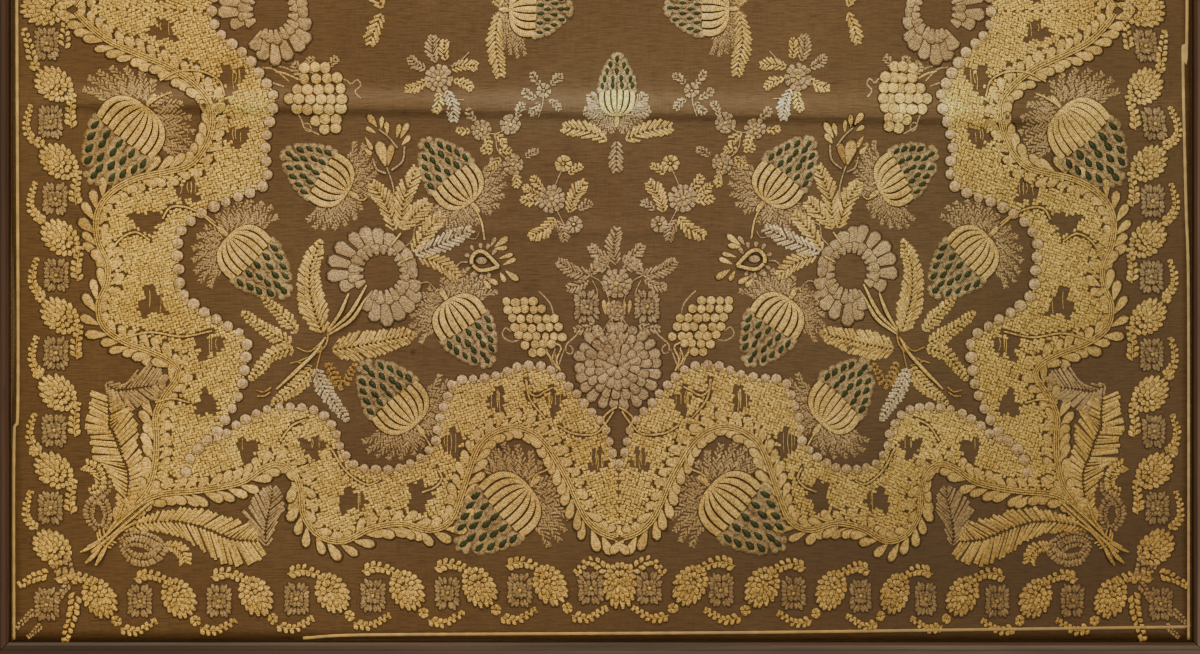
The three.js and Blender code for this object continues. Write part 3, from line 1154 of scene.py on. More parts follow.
# Lobes near the tie reach less: the first one's share, and the steps over which it gains one
LEAST_LOBE, TIE_REACH = 0.6, 150
# Strands of a rib: how far each lies from its middle, how thick they are
STRANDS = (-2.2, 0.0, 2.2)
STRAND_RADIUS = 1.2
# Discs of the chains: pitch and size up the side and along the foot
SIDE_DISCS = (13.4, 13.7)
FOOT_DISCS = (11.6, 11.8)
DISC_BRIGHTNESS = 1.5
# Turns inside a disc, in shares of half its breadth: places, reach, loss to the sides, width
TURNS = (-0.42, 0.0, 0.42)
TURN_REACH, TURN_LOSS, TURN_WIDTH = 0.68, 0.4, 0.38

# Holes in the lace: middle, how far they reach across and down, and the threads left in them
Hole = namedtuple("Hole", "x y across down threads")
HOLES = records(
    Hole,
    (163, 30, 14, 11, 2), (233, 77, 13, 14, 4), (237, 136, 14, 10, 3), (188, 190, 12, 12, 5),
    (148, 222, 17, 11, 0), (152, 303, 14, 15, 2), (207, 345, 15, 13, 3), (206, 404, 12, 13, 0),
    (247, 448, 11, 12, 1), (312, 447, 13, 12, 3), (350, 500, 15, 12, 2), (418, 497, 11, 18, 0),
    (451, 444, 11, 15, 4), (497, 402, 9, 15, 6), (555, 403, 9, 13, 7), (597, 462, 9, 12, 6),
)
# The torn edge of a hole lies at this share of its reach, and strays by that share
HOLE_EDGE, HOLE_RAGGED = 0.93, 0.24

# Veins of couched cord over the lace, from the rib or the edge inwards
VEINS = (
    line((160, 80), (178, 71), (200, 70), (219, 79), (226, 95)),
    line((112, 250), (122, 238), (136, 232), (150, 240)),
    line((163, 218), (170, 207), (184, 206), (203, 213), (216, 222)),
    line((118, 340), (150, 332), (182, 336), (212, 330)),
    line((156, 402), (172, 398), (190, 402)),
    line((527, 381), (528, 391), (536, 397), (545, 392), (553, 388)),
    line((526, 380), (530, 400), (545, 419)),
    line((558, 426), (572, 434), (594, 435), (605, 425), (614, 412)),
    line((330, 447), (345, 470), (365, 484), (378, 480)),
    line((436, 468), (441, 478), (434, 487), (421, 492)),
    line((280, 440), (291, 425), (306, 418)),
)

LACE_PITCH = 3.12
LACE_WAY = math.radians(18)
LACE_HEIGHT = 0.9
# Spots of a field's outline: how far apart, and how many of the first lie in the tie
FIELD_STEP, IN_TIE = 4, 8
VEIN_RADIUS = 1.6
# Lace keeps clear of the lobes by this share of their width, and of the veins by these steps
LOBE_CLEARANCE, VEIN_CLEARANCE = 0.27, 0.9


def inside(spots, outline):
    """Which spots lie inside a closed outline."""
    x, y = spots.real[:, None], spots.imag[:, None]
    a, b = outline, np.roll(outline, -1)
    crosses = (a.imag > y) != (b.imag > y)
    rise = np.where(b.imag == a.imag, 1e-9, b.imag - a.imag)
    at = a.real + (y - a.imag) / rise * (b.real - a.real)
    return (crosses & (x < at)).sum(axis=1) % 2 == 1


def in_hole(spots, hole, random):
    """Which spots lie in a hole with a torn edge."""
    away = spots - spot(hole.x, hole.y)
    angle = np.angle(away)
    first, second, third = random.uniform(0, 2 * math.pi, 3)
    wide, fine = np.sin(3 * angle + first), np.sin(9 * angle + third)
    edge = 1 + HOLE_RAGGED * (wide + 0.7 * np.sin(5 * angle + second) + 0.5 * fine)
    return np.hypot(away.real / hole.across, away.imag / hole.down) < edge * HOLE_EDGE


def lace_fields():
    """Outlines of the two fields of lace in a quarter of the band."""
    side_rib, side_chain, foot_rib, foot_chain = (
        flowing(path, FIELD_STEP) for path in (SIDE_RIB, SIDE_CHAIN, FOOT_RIB, FOOT_CHAIN)
    )
    side = np.concatenate([side_rib[IN_TIE:], side_chain])
    return side, np.concatenate([foot_rib[IN_TIE:], foot_chain[::-1]])


def clear_of(spots, stitches):
    """Which spots lie clear of all those stitches and of the veins."""
    clear = np.ones(len(spots), bool)
    for _, foot, tip, width, *_ in stitches:
        along = (spots - foot) / (tip - foot)
        off = np.abs(along - np.clip(along.real, 0.2, 0.92)) * abs(tip - foot)
        clear &= off > LOBE_CLEARANCE * width
    for path in VEINS:
        for middle in flowing(path, 2.5):
            clear &= np.abs(spots - middle) > VEIN_RADIUS + VEIN_CLEARANCE
    return clear


def basket_filling(work, fields, lobes, random):
    """Short raised stitches that lie by turns along and across, as couched thread does."""
    turn = np.exp(1j * LACE_WAY)
    colour = dye("lace")
    for field in fields:
        low = complex(field.real.min(), field.imag.min())
        high = complex(field.real.max(), field.imag.max())
        middle = 0.5 * (low + high)
        reach = int(np.abs(field - middle).max() / LACE_PITCH) + 2
        i, j = np.meshgrid(np.arange(-reach, reach), np.arange(-reach, reach))
        i, j = i.ravel(), j.ravel()
        spots = middle + LACE_PITCH * (i + 1j * j) * turn
        spots = spots + 1.2 * np.sin(spots.real / 31) + 0.9j * np.sin(spots.imag / 27)
        kept = inside(spots, field)
        for hole in HOLES:
            kept &= ~in_hole(spots, hole, random)
        kept &= clear_of(spots, lobes)
        for here, odd in zip(spots[kept], (i + j)[kept] % 2):
            way = turn * (1j if odd else 1)
            half = 0.5 * LACE_PITCH * random.uniform(1.24, 1.34)
            width = LACE_PITCH * random.uniform(0.9, 0.96)
            tone = random.uniform(0.92, 1.08)
            shade = tuple(c * tone for c in colour)
            ends = here - half * way, here + half * way
            work.stitch(PILLOW, *ends, width, shade, LACE_HEIGHT)


def torn_threads(work, random):
    """The few loose threads left standing across each hole."""
    colour = dye("lace")
    for hole in HOLES:
        for _ in range(hole.threads):
            x = hole.x + hole.across * random.uniform(-0.7, 0.7)
            top = hole.y - hole.down * random.uniform(0.5, 0.95)
            foot = hole.y + hole.down * random.uniform(-0.1, 0.9)
            sway = random.uniform(-1.2, 1.2)
            spots = line((x, top), (x + sway, (top + foot) / 2), (x - 0.5 * sway, foot))
            work.cord(flowing(spots, 5), random.uniform(0.4, 0.6), colour)


def sew_ribs(lobes, ribs):
    gold = dye("gold")
    for path, outer in ((SIDE_RIB, 1), (FOOT_RIB, -1)):
        spine = flowing(path, 1.0)
        ways = headings(spine)
        for side, flank in ((outer, OUTER_FLANK), (-outer, INNER_FLANK)):
            for k in range(flank.start, len(spine) - 4, flank.pitch):
                near_tie = min(1.0, LEAST_LOBE + k / TIE_REACH)
                reach = flank.reach * lobes.random.uniform(0.9, 1.12) * near_tie
                lean = side * flank.lean * lobes.random.uniform(0.85, 1.15)
                foot = spine[k] + 1.5j * side * ways[k]
                tip = foot + reach * ways[k] * np.exp(1j * lean)
                height = 1.25 * TURN_ABOUT[(k - flank.start) // flank.pitch % 2]
                lobes.stitch(CLUB, foot, tip, flank.width, gold, height)
        for side in STRANDS:
            offset = spine + 1j * side * ways
            ribs.cord(offset[::8], STRAND_RADIUS, gold)


def sew_chain(discs):
    """Flat coils of faded thread with upright turns inside."""
    grey = tuple(min(1.0, DISC_BRIGHTNESS * c) for c in dye("grey"))
    for path, (pitch, size) in ((SIDE_CHAIN, SIDE_DISCS), (FOOT_CHAIN, FOOT_DISCS)):
        for here in flowing(path, pitch):
            half = 0.5 * size * discs.random.uniform(0.92, 1.1)
            discs.stitch(DISC, here - 1j * half, here + 1j * half, 2.0 * half, grey, 1.2)
            for off in TURNS:
                reach = TURN_REACH - TURN_LOSS * abs(off)
                foot = here + half * complex(off, -reach)
                tip = here + half * complex(off, reach)
                discs.stitch(RIB, foot, tip, TURN_WIDTH * half, grey, 1.6)


# Padded fruit

# Base and tip on the drawing sheet, half the breadth in steps, and the number of ribs
Fruit = namedtuple("Fruit", "x y tip_x tip_y breadth ribs")
QUARTER_FRUIT = records(
    Fruit,
    (147, 107, 90, 182, 36, 9), (349, 190, 284, 150, 27, 7),
    (473, 202, 425, 140, 26, 7), (228, 235, 288, 293, 29, 8),
    (448, 300, 490, 365, 27, 7), (415, 424, 362, 362, 30, 8),
    (528, 487, 457, 548, 34, 8),
)
LEVEL_FRUIT = (Fruit(510, 10, 572, 10, 27, 7),)
UPRIGHT_FRUIT = (Fruit(618, 118, 618, 56, 17, 6),)

# The seed net: where it starts and ends along the fruit, and half its breadth on the way
NET_START, NET_END = 0.42, 1.0
NET_SHAPE = (
    (0.36, 0.36), (0.5, 0.355), (0.62, 0.31), (0.74, 0.25), (0.86, 0.17), (0.95, 0.09), (1.0, 0.03)
)
SEED_ROWS = (0.49, 0.605, 0.72, 0.825, 0.92)
SEED_GAP = 0.148
# A seed's space as a share of the fruit's length, and half a pad and half a seed as shares of it
SEED_SPACE, HALF_PAD, HALF_SEED = 0.15, 0.62, 0.47
# How far the outer ribs lie from the middle, their thickness as a share of their space, and
# how it grows from the foot
RIB_SPREAD = 0.33
RIB_SHARE = 0.6
RIB_GROWTH = (0.14, 0.37, 0.63, 0.83, 0.96, 1.0, 0.92)
# Ferny leaves of the calyx: foot and tip in the fruit's own lengths, on either side
CALYX = (
    (-0.03, 0.03, -0.24, 0.10), (-0.02, 0.07, -0.24, 0.24), (0.0, 0.12, -0.18, 0.38),
    (0.03, 0.18, -0.09, 0.49), (0.08, 0.24, 0.02, 0.57), (0.14, 0.29, 0.13, 0.61),
    (0.21, 0.33, 0.25, 0.58),
)
# How far towards the foot the middle of such a leaf bends
CALYX_BEND = 0.03


def net_breadth(s):
    """Half the breadth of the seed net at a share s of the fruit's length."""
    return np.interp(s, *zip(*NET_SHAPE))


def sew_fruit(fruit, bodies, net, seeds, calyxes):
    """Melon ribs, a net of seeds and a ferny calyx with its knob."""
    base, axis = spot(fruit.x, fruit.y), spot(fruit.tip_x, fruit.tip_y) - spot(fruit.x, fruit.y)
    size = abs(axis)
    broad = fruit.breadth / size / 0.36
    gold, pale_net, green, fern = dye("gold"), dye("net"), dye("green"), dye("fern")

    def place(s, t):
        return base + axis * (s + 1j * t * broad)

    for t in np.linspace(-RIB_SPREAD, RIB_SPREAD, fruit.ribs):
        bow = 1 - abs(t) / RIB_SPREAD
        u = np.linspace(0, 1, 9)
        s = 2 * u * (1 - u) * (0.02 + 0.17 * bow) + u * u * (0.43 - 0.03 * (1 - bow) ** 2)
        across = 2 * u * (1 - u) * 1.16 * t + u * u * 0.98 * t
        radius = 2 * RIB_SPREAD / fruit.ribs * size * broad * RIB_SHARE
        bodies.cord(place(s, across), radius, gold, RIB_GROWTH)
    forward = axis / size
    space = SEED_SPACE * size
    for row, s in enumerate(SEED_ROWS):
        half = (net_breadth(s) - 0.05) * broad
        count = max(1, round(2 * half / SEED_GAP) + 1) if row < len(SEED_ROWS) - 1 else 1
        for t in np.linspace(-half, half, count) if count > 1 else (0.0,):
            here = base + axis * (s + 1j * t)
            way = forward * np.exp(0.5j * t)
            pad, seed = HALF_PAD * space * way, HALF_SEED * space * way
            net.stitch(DISC, here - pad, here + pad, 2 * HALF_PAD * space, pale_net, 0.9)
            seeds.stitch(SEED, here - seed, here + 0.92 * seed, 0.52 * space, green, 1.8)
    for s in np.linspace(NET_START, NET_END - 0.04, 7):
        for side in (-1, 1):
            here = place(s, side * (net_breadth(s) - 0.01))
            out = 1j * side * forward * np.exp(-0.9j * side * (s - 0.3))
            net.stitch(CLUB, here - 6 * out, here + 4 * out, 8.4, pale_net, 1.7)
    net.stitch(CLUB, place(0.9, 0), place(1.04, 0), 8.0, pale_net, 1.7)
    for s, t, tip_s, tip_t in CALYX:
        for side in (-1, 1):
            middle = place((s + tip_s) / 2 - CALYX_BEND, side * (t + tip_t) / 2)
            path = (place(s, side * t), middle, place(tip_s, side * tip_t))
            frond(calyxes, path, fern, 0.1 * size, 0.03 * size, 0.05 * size, 0.6, RIB, tapering)
    knob = (base - 0.16 * axis, base - 0.1 * axis, base - 0.02 * axis)
    bodies.cord(knob, 3.4, gold, (0.5, 1.1, 0.7))


# Bunches of grapes: how far apart they lie, rows of them by their first spot and number, the
# stalk and the tendrils
Bunch = namedtuple("Bunch", "pitch rows stalk curls")
BUNCHES = (
    Bunch(
        10.7,
        ((305, 66, 3), (306, 77, 4), (298, 87, 5), (290, 98, 6), (298, 108, 5), (316, 118, 3),
         (326, 127, 2)),
        ((300, 78), (286, 72), (276, 70)),
        (
            ((285, 85), (270, 80), (262, 74)), ((290, 80), (275, 68), (262, 66)),
            ((300, 72), (285, 66), (272, 64)),
            ((335, 75), (348, 79), (352, 83), (358, 78), (362, 84), (356, 90), (362, 97)),
            ((299, 112), (303, 120), (306, 128), (312, 130), (310, 122), (303, 124), (320, 133)),
        ),
    ),
    Bunch(
        8.7,
        ((508, 302, 4), (509, 310, 5), (513, 319, 6), (516, 328, 6), (520, 337, 6), (526, 345, 4),
         (533, 353, 2)),
        ((545, 350), (552, 360), (558, 371)),
        (
            ((556, 373), (552, 362), (547, 350), (545, 343)), ((556, 373), (556, 358), (555, 345)),
            ((557, 372), (562, 358), (565, 350)),
            ((580, 334), (572, 341), (567, 346), (567, 353), (572, 355), (574, 350), (570, 346)),
            ((555, 322), (553, 308), (548, 300), (540, 292)),
            ((520, 340), (512, 342), (503, 336), (506, 328), (512, 332)),
        ),
    ),
)


def sew_grapes(bunch, grapes, stems):
    gold = dye("gold")
    for x, y, count in bunch.rows:
        for k in range(count):
            half = 0.5 * bunch.pitch * grapes.random.uniform(1.26, 1.36)
            here = spot(x + k * bunch.pitch, y) + 0.4 * complex(*grapes.random.normal(0, 1, 2))
            age = grapes.random.uniform(0.86, 1.1)
            shade = tuple(c * age for c in gold)
            height = 1.1 * TURN_ABOUT[k % 2]
            grapes.stitch(DISC, here - 1j * half, here + 1j * half, 2 * half, shade, height)
    stems.cord(flowing(line(*bunch.stalk), 5), 1.3, gold, (1, 1, 0.8))
    for path in bunch.curls:
        stems.cord(flowing(line(*path), 3.5), 0.95, dye("grey"))


# Leaves of gold floss: the path of the midrib, half their breadth and their colour
Leaf = namedtuple("Leaf", "path breadth colour")
QUARTER_LEAVES = (
    Leaf(line((402, 228), (405, 200), (417, 170)), 10, "gold"),
    Leaf(line((396, 229), (388, 205), (375, 185)), 10, "gold"),
    Leaf(line((402, 229), (414, 216), (427, 204)), 9.5, "gold"),
    Leaf(line((414, 251), (426, 233), (441, 217)), 9, "gold"),
    Leaf(line((416, 253), (440, 244), (469, 231)), 9, "pale"),
    Leaf(line((420, 256), (440, 263), (457, 275)), 8.5, "gold"),
    Leaf(line((500, 13), (496, 40), (501, 73)), 9, "gold"),
    Leaf(line((383, 13), (377, 25), (372, 40)), 8, "gold"),
    Leaf(line((609, 142), (590, 133), (568, 129)), 9, "gold"),
)
UPRIGHT_LEAVES = (
    Leaf(line((618, 143), (618, 156), (618, 170)), 7.5, "grey"),
)

# Arms of the ferny star that springs up below the large flower: path of the midrib, half its
# breadth at the foot and near the tip, and its colour
Arm = namedtuple("Arm", "path foot tip colour")
STAR_ARMS = (
    Arm(line((322, 331), (312, 300), (310, 270), (320, 242)), 15, 8, "gold"),
    Arm(line((297, 330), (283, 315), (265, 298)), 8, 5, "gold"),
    Arm(line((291, 342), (268, 330), (245, 313)), 8, 5, "gold"),
    Arm(line((293, 347), (272, 354), (252, 376)), 8, 5, "gold"),
    Arm(line((332, 349), (370, 343), (412, 334)), 15, 9, "gold"),
    Arm(line((311, 367), (297, 384), (274, 401)), 9, 5, "gold"),
    Arm(line((315, 368), (327, 392), (345, 417)), 9, 5.5, "pale"),
    Arm(line((327, 362), (340, 383), (354, 366)), 6, 4, "deep"),
)
STAR_STEMS = (
    line((328, 324), (325, 345), (303, 358), (290, 362)),
    line((326, 336), (310, 350), (296, 346)),
    line((322, 345), (316, 368)),
    line((298, 361), (312, 365)),
    line((271, 386), (264, 391), (256, 389)),
    line((270, 391), (264, 395), (257, 395)),
)
STAR_BRACTS = (
    line((327, 330), (340, 312), (349, 292)),
    line((328, 331), (350, 312), (367, 284)),
    line((329, 333), (352, 318), (366, 297)),
    line((325, 336), (316, 350), (300, 366), (276, 388)),
)

# Tied in the corner: two long plumes, their grey tips and small curled leaves, by the midrib from
# the foot and how far the ribs reach to its left and right, each a share of the way and a reach
Plume = namedtuple("Plume", "path left right pitch lean colour")
PLUMES = (
    Plume(
        line((118, 516), (126, 500), (129, 484), (128, 468), (122, 454), (116, 438), (110, 426),
             (110, 412), (109, 398)),
        ((0, 5), (0.13, 12), (0.21, 17), (0.29, 23), (0.4, 28), (0.55, 27), (0.8, 21), (1, 17)),
        ((0, 6), (0.13, 10), (0.3, 14), (0.46, 19), (0.6, 24), (0.74, 27), (0.86, 22), (1, 4)),
        3.9, 1.12, "gold",
    ),
    Plume(
        line((124, 528), (148, 523), (168, 521), (188, 523), (210, 530), (232, 539), (256, 541)),
        ((0, 4), (0.15, 8), (0.35, 14), (0.55, 19), (0.75, 22), (0.9, 16), (1, 4)),
        ((0, 4), (0.15, 10), (0.35, 18), (0.55, 24), (0.75, 26), (0.9, 21), (1, 14)),
        4.2, 0.9, "gold",
    ),
    Plume(
        line((106, 384), (116, 390), (128, 390), (146, 387), (163, 385)),
        ((0, 6), (0.2, 18), (0.45, 23), (0.7, 18), (1, 8)),
        ((0, 8), (0.2, 18), (0.4, 17), (0.7, 13), (1, 4)),
        3.8, 0.8, "grey",
    ),
    Plume(
        line((266, 546), (265, 530), (268, 514), (271, 500), (272, 490)),
        ((0, 9), (0.2, 20), (0.45, 19), (0.75, 12), (1, 4)),
        ((0, 7), (0.2, 17), (0.5, 14), (0.8, 9), (1, 4)),
        3.8, 0.65, "grey",
    ),
    Plume(
        line((122, 545), (131, 556), (144, 560), (158, 555), (165, 545)),
        ((0, 4), (0.3, 7), (1, 6)), ((0, 4), (0.3, 7), (1, 6)), 3.2, 1.2, "grey",
    ),
    Plume(
        line((124, 546), (134, 542), (147, 545), (156, 552)),
        ((0, 4), (1, 5)), ((0, 4), (1, 5)), 3.2, 1.2, "grey",
    ),
    Plume(
        line((120, 541), (132, 535), (147, 536), (158, 542)),
        ((0, 3), (1, 5)), ((0, 3), (1, 5)), 3.2, 1.2, "grey",
    ),
    Plume(
        line((164, 546), (174, 547), (182, 553), (184, 560)),
        ((0, 5), (0.5, 8), (1, 7)), ((0, 5), (0.5, 8), (1, 6)), 3.6, 0.9, "gold",
    ),
    Plume(
        line((98, 529), (91, 520), (90, 508), (98, 497), (107, 490), (108, 484)),
        ((0, 4), (0.3, 6), (1, 4)), ((0, 4), (0.3, 6), (1, 4)), 3.2, 1.1, "grey",
    ),
    Plume(
        line((103, 528), (108, 518), (106, 506), (101, 500)),
        ((0, 4), (1, 6)), ((0, 4), (1, 6)), 3.2, 1.1, "grey",
    ),
    Plume(
        line((90, 492), (99, 488), (101, 478), (96, 469), (89, 465)),
        ((0, 4), (0.4, 8), (1, 8)), ((0, 3), (0.4, 6), (1, 6)), 3.6, 1.0, "gold",
    ),
)
TIED_STEMS = (
    (line((150, 503), (128, 522), (106, 541), (92, 552)), 2.3),
    (line((146, 500), (124, 519), (103, 538), (88, 547)), 1.9),
    (line((134, 523), (120, 532), (108, 545), (99, 557)), 2.1),
    (line((124, 503), (118, 518), (107, 534)), 1.6),
)
STEM_ENDS = (
    (line((101, 542), (92, 547), (81, 552)), 2.4),
    (line((103, 544), (95, 555), (86, 563)), 3.2),
    (line((107, 547), (102, 556), (96, 565)), 3.0),
)
TIE_CORDS = (
    line((100, 529), (101, 536), (106, 542), (114, 545)),
    line((104, 528), (105, 534), (110, 540), (117, 543)),
    line((98, 532), (99, 539), (104, 545), (112, 548)),
)


def sew_star(leaves, stems):
    """Each arm has a rank of long ribs on either side and a rank of short ones over them."""
    for arm in STAR_ARMS:
        spine = flowing(arm.path, 4.6)
        share = np.linspace(0, 1, len(spine))
        reaches = np.interp(share, (0, 0.15, 0.85, 1), (0.7 * arm.foot, arm.foot, arm.tip, 3))
        colour = dye(arm.colour)
        for side in (-1, 1):
            rank(leaves, spine, 1.35 * reaches, side, 0.85, colour, 0.8)
            rank(leaves, spine, 0.75 * reaches, side, 0.6, colour, 1.7)
        tip = 2 * spine[-1] - spine[-2]
        leaves.stitch(RIB, spine[-1], tip, 3.6, colour, 1.2)
    for path in STAR_STEMS:
        stems.cord(flowing(path, 4), 1.5, dye("deep"), (1, 0.9, 0.8))
    for path in STAR_BRACTS:
        stems.cord(flowing(path, 4), 2.6, dye("gold"), (0.5, 1.0, 1.1, 0.5))


def sew_plume(plume, leaves):
    """Ribs laid side by side from a midrib out to the plume's edge."""
    spine = flowing(plume.path, plume.pitch)
    share = np.linspace(0, 1, len(spine))
    for side, profile in ((1, plume.left), (-1, plume.right)):
        reaches = np.interp(share, *zip(*profile)) / math.sin(plume.lean)
        rank(leaves, spine, reaches, side, plume.lean, dye(plume.colour), fill=1.16)


def sew_plumes(leaves, stems):
    for plume in PLUMES:
        sew_plume(plume, leaves)
    for path, radius in TIED_STEMS:
        stems.cord(flowing(path, 5), radius, dye("gold"))
    for path, radius in STEM_ENDS:
        stems.cord(flowing(path, 4), radius, dye("gold"), (0.55, 0.9, 1.2, 0.5))
    for path in TIE_CORDS:
        stems.cord(flowing(path, 3), 1.5, dye("gold"))


# Flowers

# Large flower: petals by their turn in degrees from the right and their reach, round a bare
# middle, with a shorter petal over each, turned a little aside
Petal = namedtuple("Petal", "turn reach")
LARGE_PETALS = records(
    Petal,
    (2, 38), (20, 44), (37, 51), (52, 52), (68, 54), (84, 57), (100, 52), (114, 44), (160, 46),
    (177, 57), (195, 57), (213, 56), (231, 53), (248, 51), (265, 47), (284, 42), (304, 38),
    (325, 38), (344, 38),
)
BARE_MIDDLE = 19
LARGE_WIDTH = 15.5
LARGE_SPOTS = (spot(382, 271),)
LEVEL_LARGE = (spot(272, 10),)
INNER_WIDTH, INNER_REACH, INNER_TURN = 10.5, 0.42, 0.14
CENTRE_FLOWER = spot(618, 367)
# Rows of faded lobes that stand on its upper half, up to those distances from its middle
CROWN_ROWS = (27, 35, 43)
CROWN_HALF_COUNT = 3
CROWN_STEP = 0.21
CROWN_BACK, CROWN_LENGTH, CROWN_WIDTH = 9, 9.5, 5.8
# Rings of its petals: where they start and end, how many, and their height
CENTRE_RINGS = ((18, 46, 22, 0.7), (11, 35, 19, 1.2), (5, 25, 14, 1.7), (0.5, 14, 8, 2.2))

# Stems of couched cord and their thickness in steps
STEMS = (
    (line((475, 204), (483, 222), (486, 240)), 1.5),
    (line((530, 484), (535, 475), (549, 468), (552, 455)), 1.3),
    (line((417, 427), (424, 436), (430, 446)), 1.3),
    (line((351, 192), (362, 199), (368, 196)), 1.2),
    (line((446, 297), (440, 288), (436, 292)), 1.2),
    (line((226, 233), (216, 225), (205, 216)), 1.3),
    (line((149, 105), (160, 97), (172, 92)), 1.5),
    (line((561, 372), (557, 361), (562, 348), (553, 343)), 1.5),
    (line((559, 370), (553, 360), (556, 350)), 1.2),
    (line((608, 430), (603, 420), (610, 412), (617, 408)), 1.6),
    (line((400, 262), (412, 256)), 1.6),
    (line((393, 243), (402, 232)), 1.5),
)

# Small blossoms: middle, reach, petals and colour
Blossom = namedtuple("Blossom", "x y reach petals colour")
QUARTER_BLOSSOMS = records(
    Blossom,
    (440, 78, 15, 12, "grey"), (553, 200, 15, 13, "tan"), (483, 130, 11, 9, "tan"),
    (512, 125, 11, 9, "grey"), (515, 165, 11, 9, "tan"), (565, 165, 9, 8, "gold"),
    (576, 226, 9, 8, "grey"), (545, 92, 8, 7, "grey"),
)
UPRIGHT_BLOSSOMS = (Blossom(618, 285, 16, 13, "tan"), Blossom(618, 312, 11, 9, "grey"))

# Small leaves: foot, tip, half their breadth and their colour
SmallLeaf = namedtuple("SmallLeaf", "x y tip_x tip_y breadth colour")
QUARTER_SMALL_LEAVES = records(
    SmallLeaf,
    (437, 62, 434, 38, 7, "grey"), (447, 60, 446, 42, 5.5, "gold"), (428, 80, 409, 88, 6, "gold"),
    (453, 68, 476, 66, 6.5, "gold"), (448, 90, 455, 118, 7, "pale"),
    (440, 92, 438, 110, 5.5, "gold"), (427, 68, 412, 58, 6, "grey"),
    (455, 80, 472, 88, 5.5, "gold"), (484, 134, 491, 148, 4.5, "gold"),
    (496, 134, 506, 145, 4.5, "gold"), (500, 152, 511, 152, 4.5, "gold"),
    (502, 158, 493, 167, 4.5, "gold"), (494, 152, 485, 148, 4.5, "gold"),
    (472, 130, 460, 130, 4.5, "gold"), (516, 172, 518, 186, 5, "gold"),
    (527, 158, 538, 152, 4.5, "tan"), (519, 118, 524, 106, 4.5, "grey"),
    (478, 120, 470, 111, 4.5, "grey"), (571, 214, 585, 186, 8, "gold"),
    (557, 219, 534, 237, 7.5, "gold"), (558, 222, 566, 240, 6, "grey"),
    (540, 202, 525, 200, 5, "gold"), (541, 196, 527, 188, 5, "gold"),
    (545, 190, 536, 179, 5, "gold"), (571, 176, 582, 168, 4.5, "gold"),
    (581, 212, 592, 205, 5, "tan"), (592, 277, 562, 264, 7.5, "tan"),
    (592, 276, 607, 262, 6.5, "tan"), (590, 281, 571, 289, 6, "tan"),
    (612, 262, 594, 249, 6.5, "grey"), (612, 270, 598, 266, 5, "tan"),
    (596, 326, 578, 331, 5.5, "grey"), (330, 66, 337, 58, 5, "grey"),
    (306, 74, 296, 64, 6, "grey"), (315, 72, 312, 58, 5.5, "tan"),
    (538, 100, 526, 92, 4.5, "grey"), (541, 104, 533, 114, 4.5, "grey"),
    (551, 101, 560, 110, 4.5, "grey"), (552, 86, 562, 78, 4.5, "grey"),
    (541, 85, 534, 75, 4.5, "grey"), (606, 112, 592, 98, 6.5, "grey"),
    (604, 116, 588, 112, 6, "grey"),
)
UPRIGHT_SMALL_LEAVES = (
    SmallLeaf(618, 266, 618, 233, 8, "tan"),
)
SPRIG_STEMS = (
    line((452, 66), (462, 60), (470, 52)),
    line((438, 88), (452, 98), (466, 100)),
    line((483, 131), (497, 134), (512, 127)),
    line((497, 134), (500, 152), (515, 165), (518, 180)),
    line((545, 92), (544, 106), (540, 118)),
    line((566, 226), (560, 214), (553, 200), (558, 184), (565, 168)),
    line((548, 206), (540, 200), (530, 192)),
    line((594, 282), (599, 293), (598, 302)),
    line((614, 326), (610, 300), (603, 284), (592, 277)),
    line((603, 334), (611, 322), (618, 318)),
    line((407, 245), (414, 238), (417, 225), (428, 223)),
    line((404, 262), (412, 270), (418, 283), (428, 281), (438, 290), (445, 291)),
    line((466, 236), (474, 239), (478, 238), (481, 232)),
)

# Single padded blades of the tulip, the heart bloom and the middle sprig: foot, tip, width
Blade = namedtuple("Blade", "x y tip_x tip_y width colour")
BLADES = records(
    Blade,
    (387, 167, 379, 138, 14, "gold"), (389, 166, 395, 141, 10, "deep"),
    (366, 134, 375, 149, 6, "gold"), (363, 145, 374, 154, 6, "gold"),
    (378, 132, 366, 126, 6, "gold"), (379, 127, 369, 112, 9, "gold"),
    (382, 129, 383, 114, 6.5, "gold"), (389, 134, 388, 119, 7, "gold"),
    (398, 138, 402, 122, 6.5, "gold"), (401, 139, 412, 121, 9, "gold"),
    (402, 145, 412, 134, 7, "gold"), (499, 259, 516, 255, 5.5, "gold"),
    (503, 266, 519, 260, 6.5, "gold"), (492, 248, 499, 237, 6, "tan"),
    (495, 248, 511, 236, 8, "gold"), (494, 249, 510, 247, 7, "gold"),
    (501, 271, 507, 283, 6, "gold"), (505, 270, 521, 281, 8, "gold"),
    (483, 278, 492, 289, 7, "gold"), (486, 277, 500, 285, 7.5, "gold"),
    (476, 252, 472, 244, 6, "grey"), (482, 250, 481, 242, 6, "grey"),
    (488, 251, 490, 243, 6, "grey"), (493, 256, 498, 249, 6, "grey"),
    (473, 257, 465, 254, 6, "grey"), (473, 266, 466, 270, 6, "grey"),
    (477, 270, 472, 278, 6, "grey"), (483, 272, 482, 280, 6, "grey"),
    (489, 270, 491, 278, 6, "grey"), (607, 318, 604, 300, 6, "gold"),
    (612, 320, 611, 301, 5.5, "gold"),
)
BOUQUET_FLOWER = spot(588, 308)
HEART_MIDDLE = (spot(483, 261), 7.5, 11)
BLOOM_CORDS = (
    (line((500, 267), (492, 258), (485, 252), (478, 252), (473, 258), (473, 264)), 3.0, "gold"),
    (line((500, 267), (488, 270), (480, 270), (474, 265)), 2.8, "gold"),
    (line((374, 157), (378, 168), (387, 172)), 1.6, "grey"),
    (line((406, 145), (404, 160), (393, 169)), 1.6, "grey"),
    (line((380, 128), (390, 136), (399, 147)), 1.3, "grey"),
    (line((388, 166), (393, 180), (395, 190), (394, 200)), 1.3, "grey"),
    (line((469, 262), (462, 262), (456, 268)), 1.2, "grey"),
)


